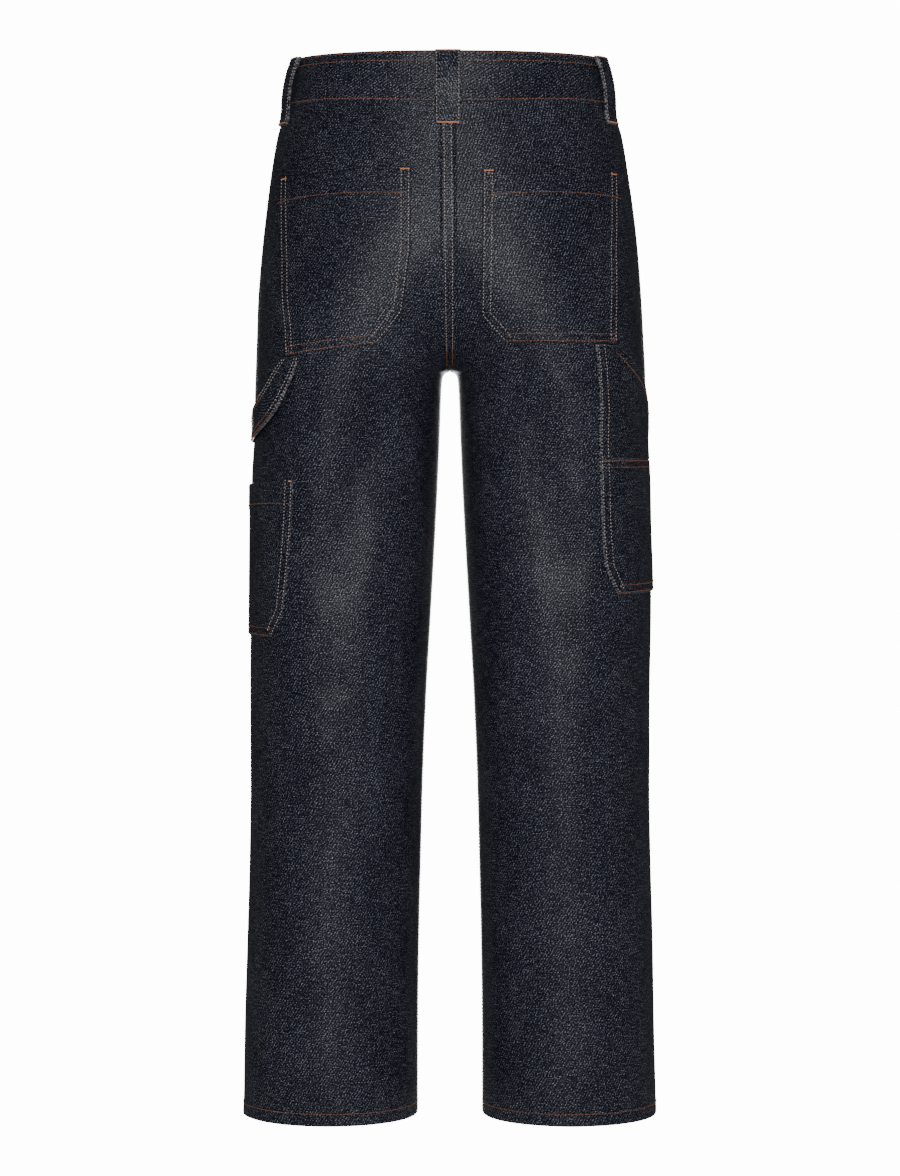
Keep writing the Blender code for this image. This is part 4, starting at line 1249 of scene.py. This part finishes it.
def build():
    face = denim("raw indigo denim, warp face")
    band_face = denim("raw indigo denim, band cut along the warp", turned=True)
    trim = denim("raw indigo denim, patch pockets")
    straps = denim("raw indigo denim, folded loops and straps", white_folds=0.45)
    back = denim("raw indigo denim, pale weft side", weft_side=True)
    level = thread_finish("copper polyester topstitching thread", "7d4a33", "b87a55")
    # Steep rows: the same copper thread, its paler colours a painted highlight where it catches the light
    steep = thread_finish("copper polyester topstitching thread, light on its crowns", "a98c82", "ecdcd5")
    tack_thread = thread_finish("copper polyester bar tack thread", "c27244", "f0a878")

    for side, word in ((1, "left"), (-1, "right")):
        panel(f"back_panel_{word}_cloth", f"back_panel_{word}", side, True, [face, back])
        panel(f"front_panel_{word}_cloth", f"front_panel_{word}", side, False, [face, back])
        facing_piece(side, word, [face, back])
    shield_piece([trim, trim])
    band = waistband_piece([band_face, band_face])
    strap = strap_piece([straps, straps])
    button_piece(brass_finish("antiqued stamped brass"))

    seams, pockets, tacks, bands = [], [], [], []
    sew_centre_back(seams)
    for side in (1, -1):
        sew_leg(side, seams)
    sew_fly(seams)
    sew_band(band, bands, tacks)

    loops = [("belt_loop_back", 0, BACK_LOOP_X)]
    for side, word in ((1, "left"), (-1, "right")):
        loops.append((f"belt_loop_side_{word}", side, SIDE_LOOPS[side]))
        loops.append((f"belt_loop_front_{word}", side, FRONT_LOOP))
    for name, side, middle in loops:
        sew_loop(loop_piece(f"{name}_cloth", name, side, middle, [straps, straps]), bands, tacks)

    lift = PATCH_GAP + PATCH_CLOTH
    for side, word in ((1, "left"), (-1, "right")):
        mouth = sew_pocket(side, *back_pocket_piece(side, word, [trim, back]), True, pockets, 0.0040, lift)
        for start, stop in POCKET_TACKS:
            tacks.append(corner_tack(side, mouth, start, stop, lift + 0.0005))
    patch_pocket = leg_pocket_piece(1, "leg_pocket_left", LEG_PATCH, [trim, back])
    mouth = sew_pocket(1, *patch_pocket, False, pockets, 0.0020, lift)
    tacks.append(corner_tack(1, mouth, *PATCH_TACK, lift + 0.0005))
    lower = leg_pocket_piece(-1, "tool_pocket_lower", TOOL_LOWER, [straps, back], hem=0.0)
    sew_pocket(-1, *lower, False, pockets, None, lift)
    sew_tool_pocket(lower, tool_upper_piece([straps, back]), pockets, lift)
    for at in STRAP_ROWS:
        at = indexed(at, across_strip(STRAP_WIDTH))
        pockets.append(on_grid(strap, np.linspace(0.012, 0.99, 160), at, (0.1, 0.0)))

    for name, rows in (("panels", seams), ("band_and_loops", bands), ("pockets", pockets)):
        stitches(f"topstitching_{name}", rows, [level, steep])
    stitches("bar_tacks", tacks, [tack_thread], pitch=TACK_PITCH, thick=0.00040, across=TACK_WIDTH)


def aim(thing, place, at):
    """Puts a camera or light in place, pointed at a place."""
    way = Vector(at) - Vector(place)
    thing.location = place
    thing.rotation_euler = way.to_track_quat("-Z", "Y").to_euler()
    bpy.context.collection.objects.link(thing)


def lamp(name, place, at, size, power):
    """A soft box."""
    data = bpy.data.lights.new(name, "AREA")
    data.shape = "RECTANGLE"
    data.size, data.size_y = size
    data.energy = power
    aim(bpy.data.objects.new(name, data), place, at)


def paper(name, corners, finish):
    """A flat sheet of studio paper that takes no part in the object."""
    mesh = bpy.data.meshes.new(name)
    mesh.from_pydata(corners, [], [(0, 1, 2, 3)])
    mesh.materials.append(finish)
    sheet = bpy.data.objects.new(name, mesh)
    bpy.context.collection.objects.link(sheet)


def studio():
    """Camera at the photograph's angle, a soft key light a little above it, weak ones at both sides and on the
    hidden side, a pale floor that ends before the camera sees it and, far behind, white paper lit from
    behind."""
    lens = bpy.data.cameras.new("camera")
    lens.sensor_fit = "VERTICAL"
    lens.sensor_height = 36.0
    lens.lens = VIEW_FOCAL
    camera = bpy.data.objects.new("camera", lens)
    aim(camera, VIEW_PLACE, VIEW_AIM)
    bpy.context.scene.camera = camera
    lamp("key_box", (0.0, 3.4, 0.15), (0.0, 0.0, -0.45), (0.4, 1.1), 76.0)
    lamp("left_box", (2.8, 1.2, 0.4), (0.0, 0.0, -0.5), (0.8, 1.6), 1.0)
    lamp("right_box", (-2.8, 1.2, 0.4), (0.0, 0.0, -0.5), (0.8, 1.6), 3.0)
    lamp("hidden_side_box", (0.0, -3.2, 0.7), (0.0, 0.0, -0.5), (0.8, 1.2), 12.0)
    world = bpy.data.worlds.new("studio")
    world.use_nodes = True
    world.node_tree.nodes["Background"].inputs["Color"].default_value = colour("ffffff")
    world.node_tree.nodes["Background"].inputs["Strength"].default_value = WORLD_LIGHT
    bpy.context.scene.world = world
    wide, near, far = 6.0, 6.0, -1.75
    floor = [(-wide, near, FLOOR), (-wide, far, FLOOR), (wide, far, FLOOR), (wide, near, FLOOR)]
    paper("floor", floor, paper_finish("white studio paper"))
    wide, back, low, high = 1.7, -8.0, -3.2, 1.9
    screen = [(-wide, back, low), (wide, back, low), (wide, back, high), (-wide, back, high)]
    paper("backdrop", screen, paper_finish("white studio paper, backlit", glow=14.0))


build()
studio()
print("CUTS", "; ".join(CUTS))
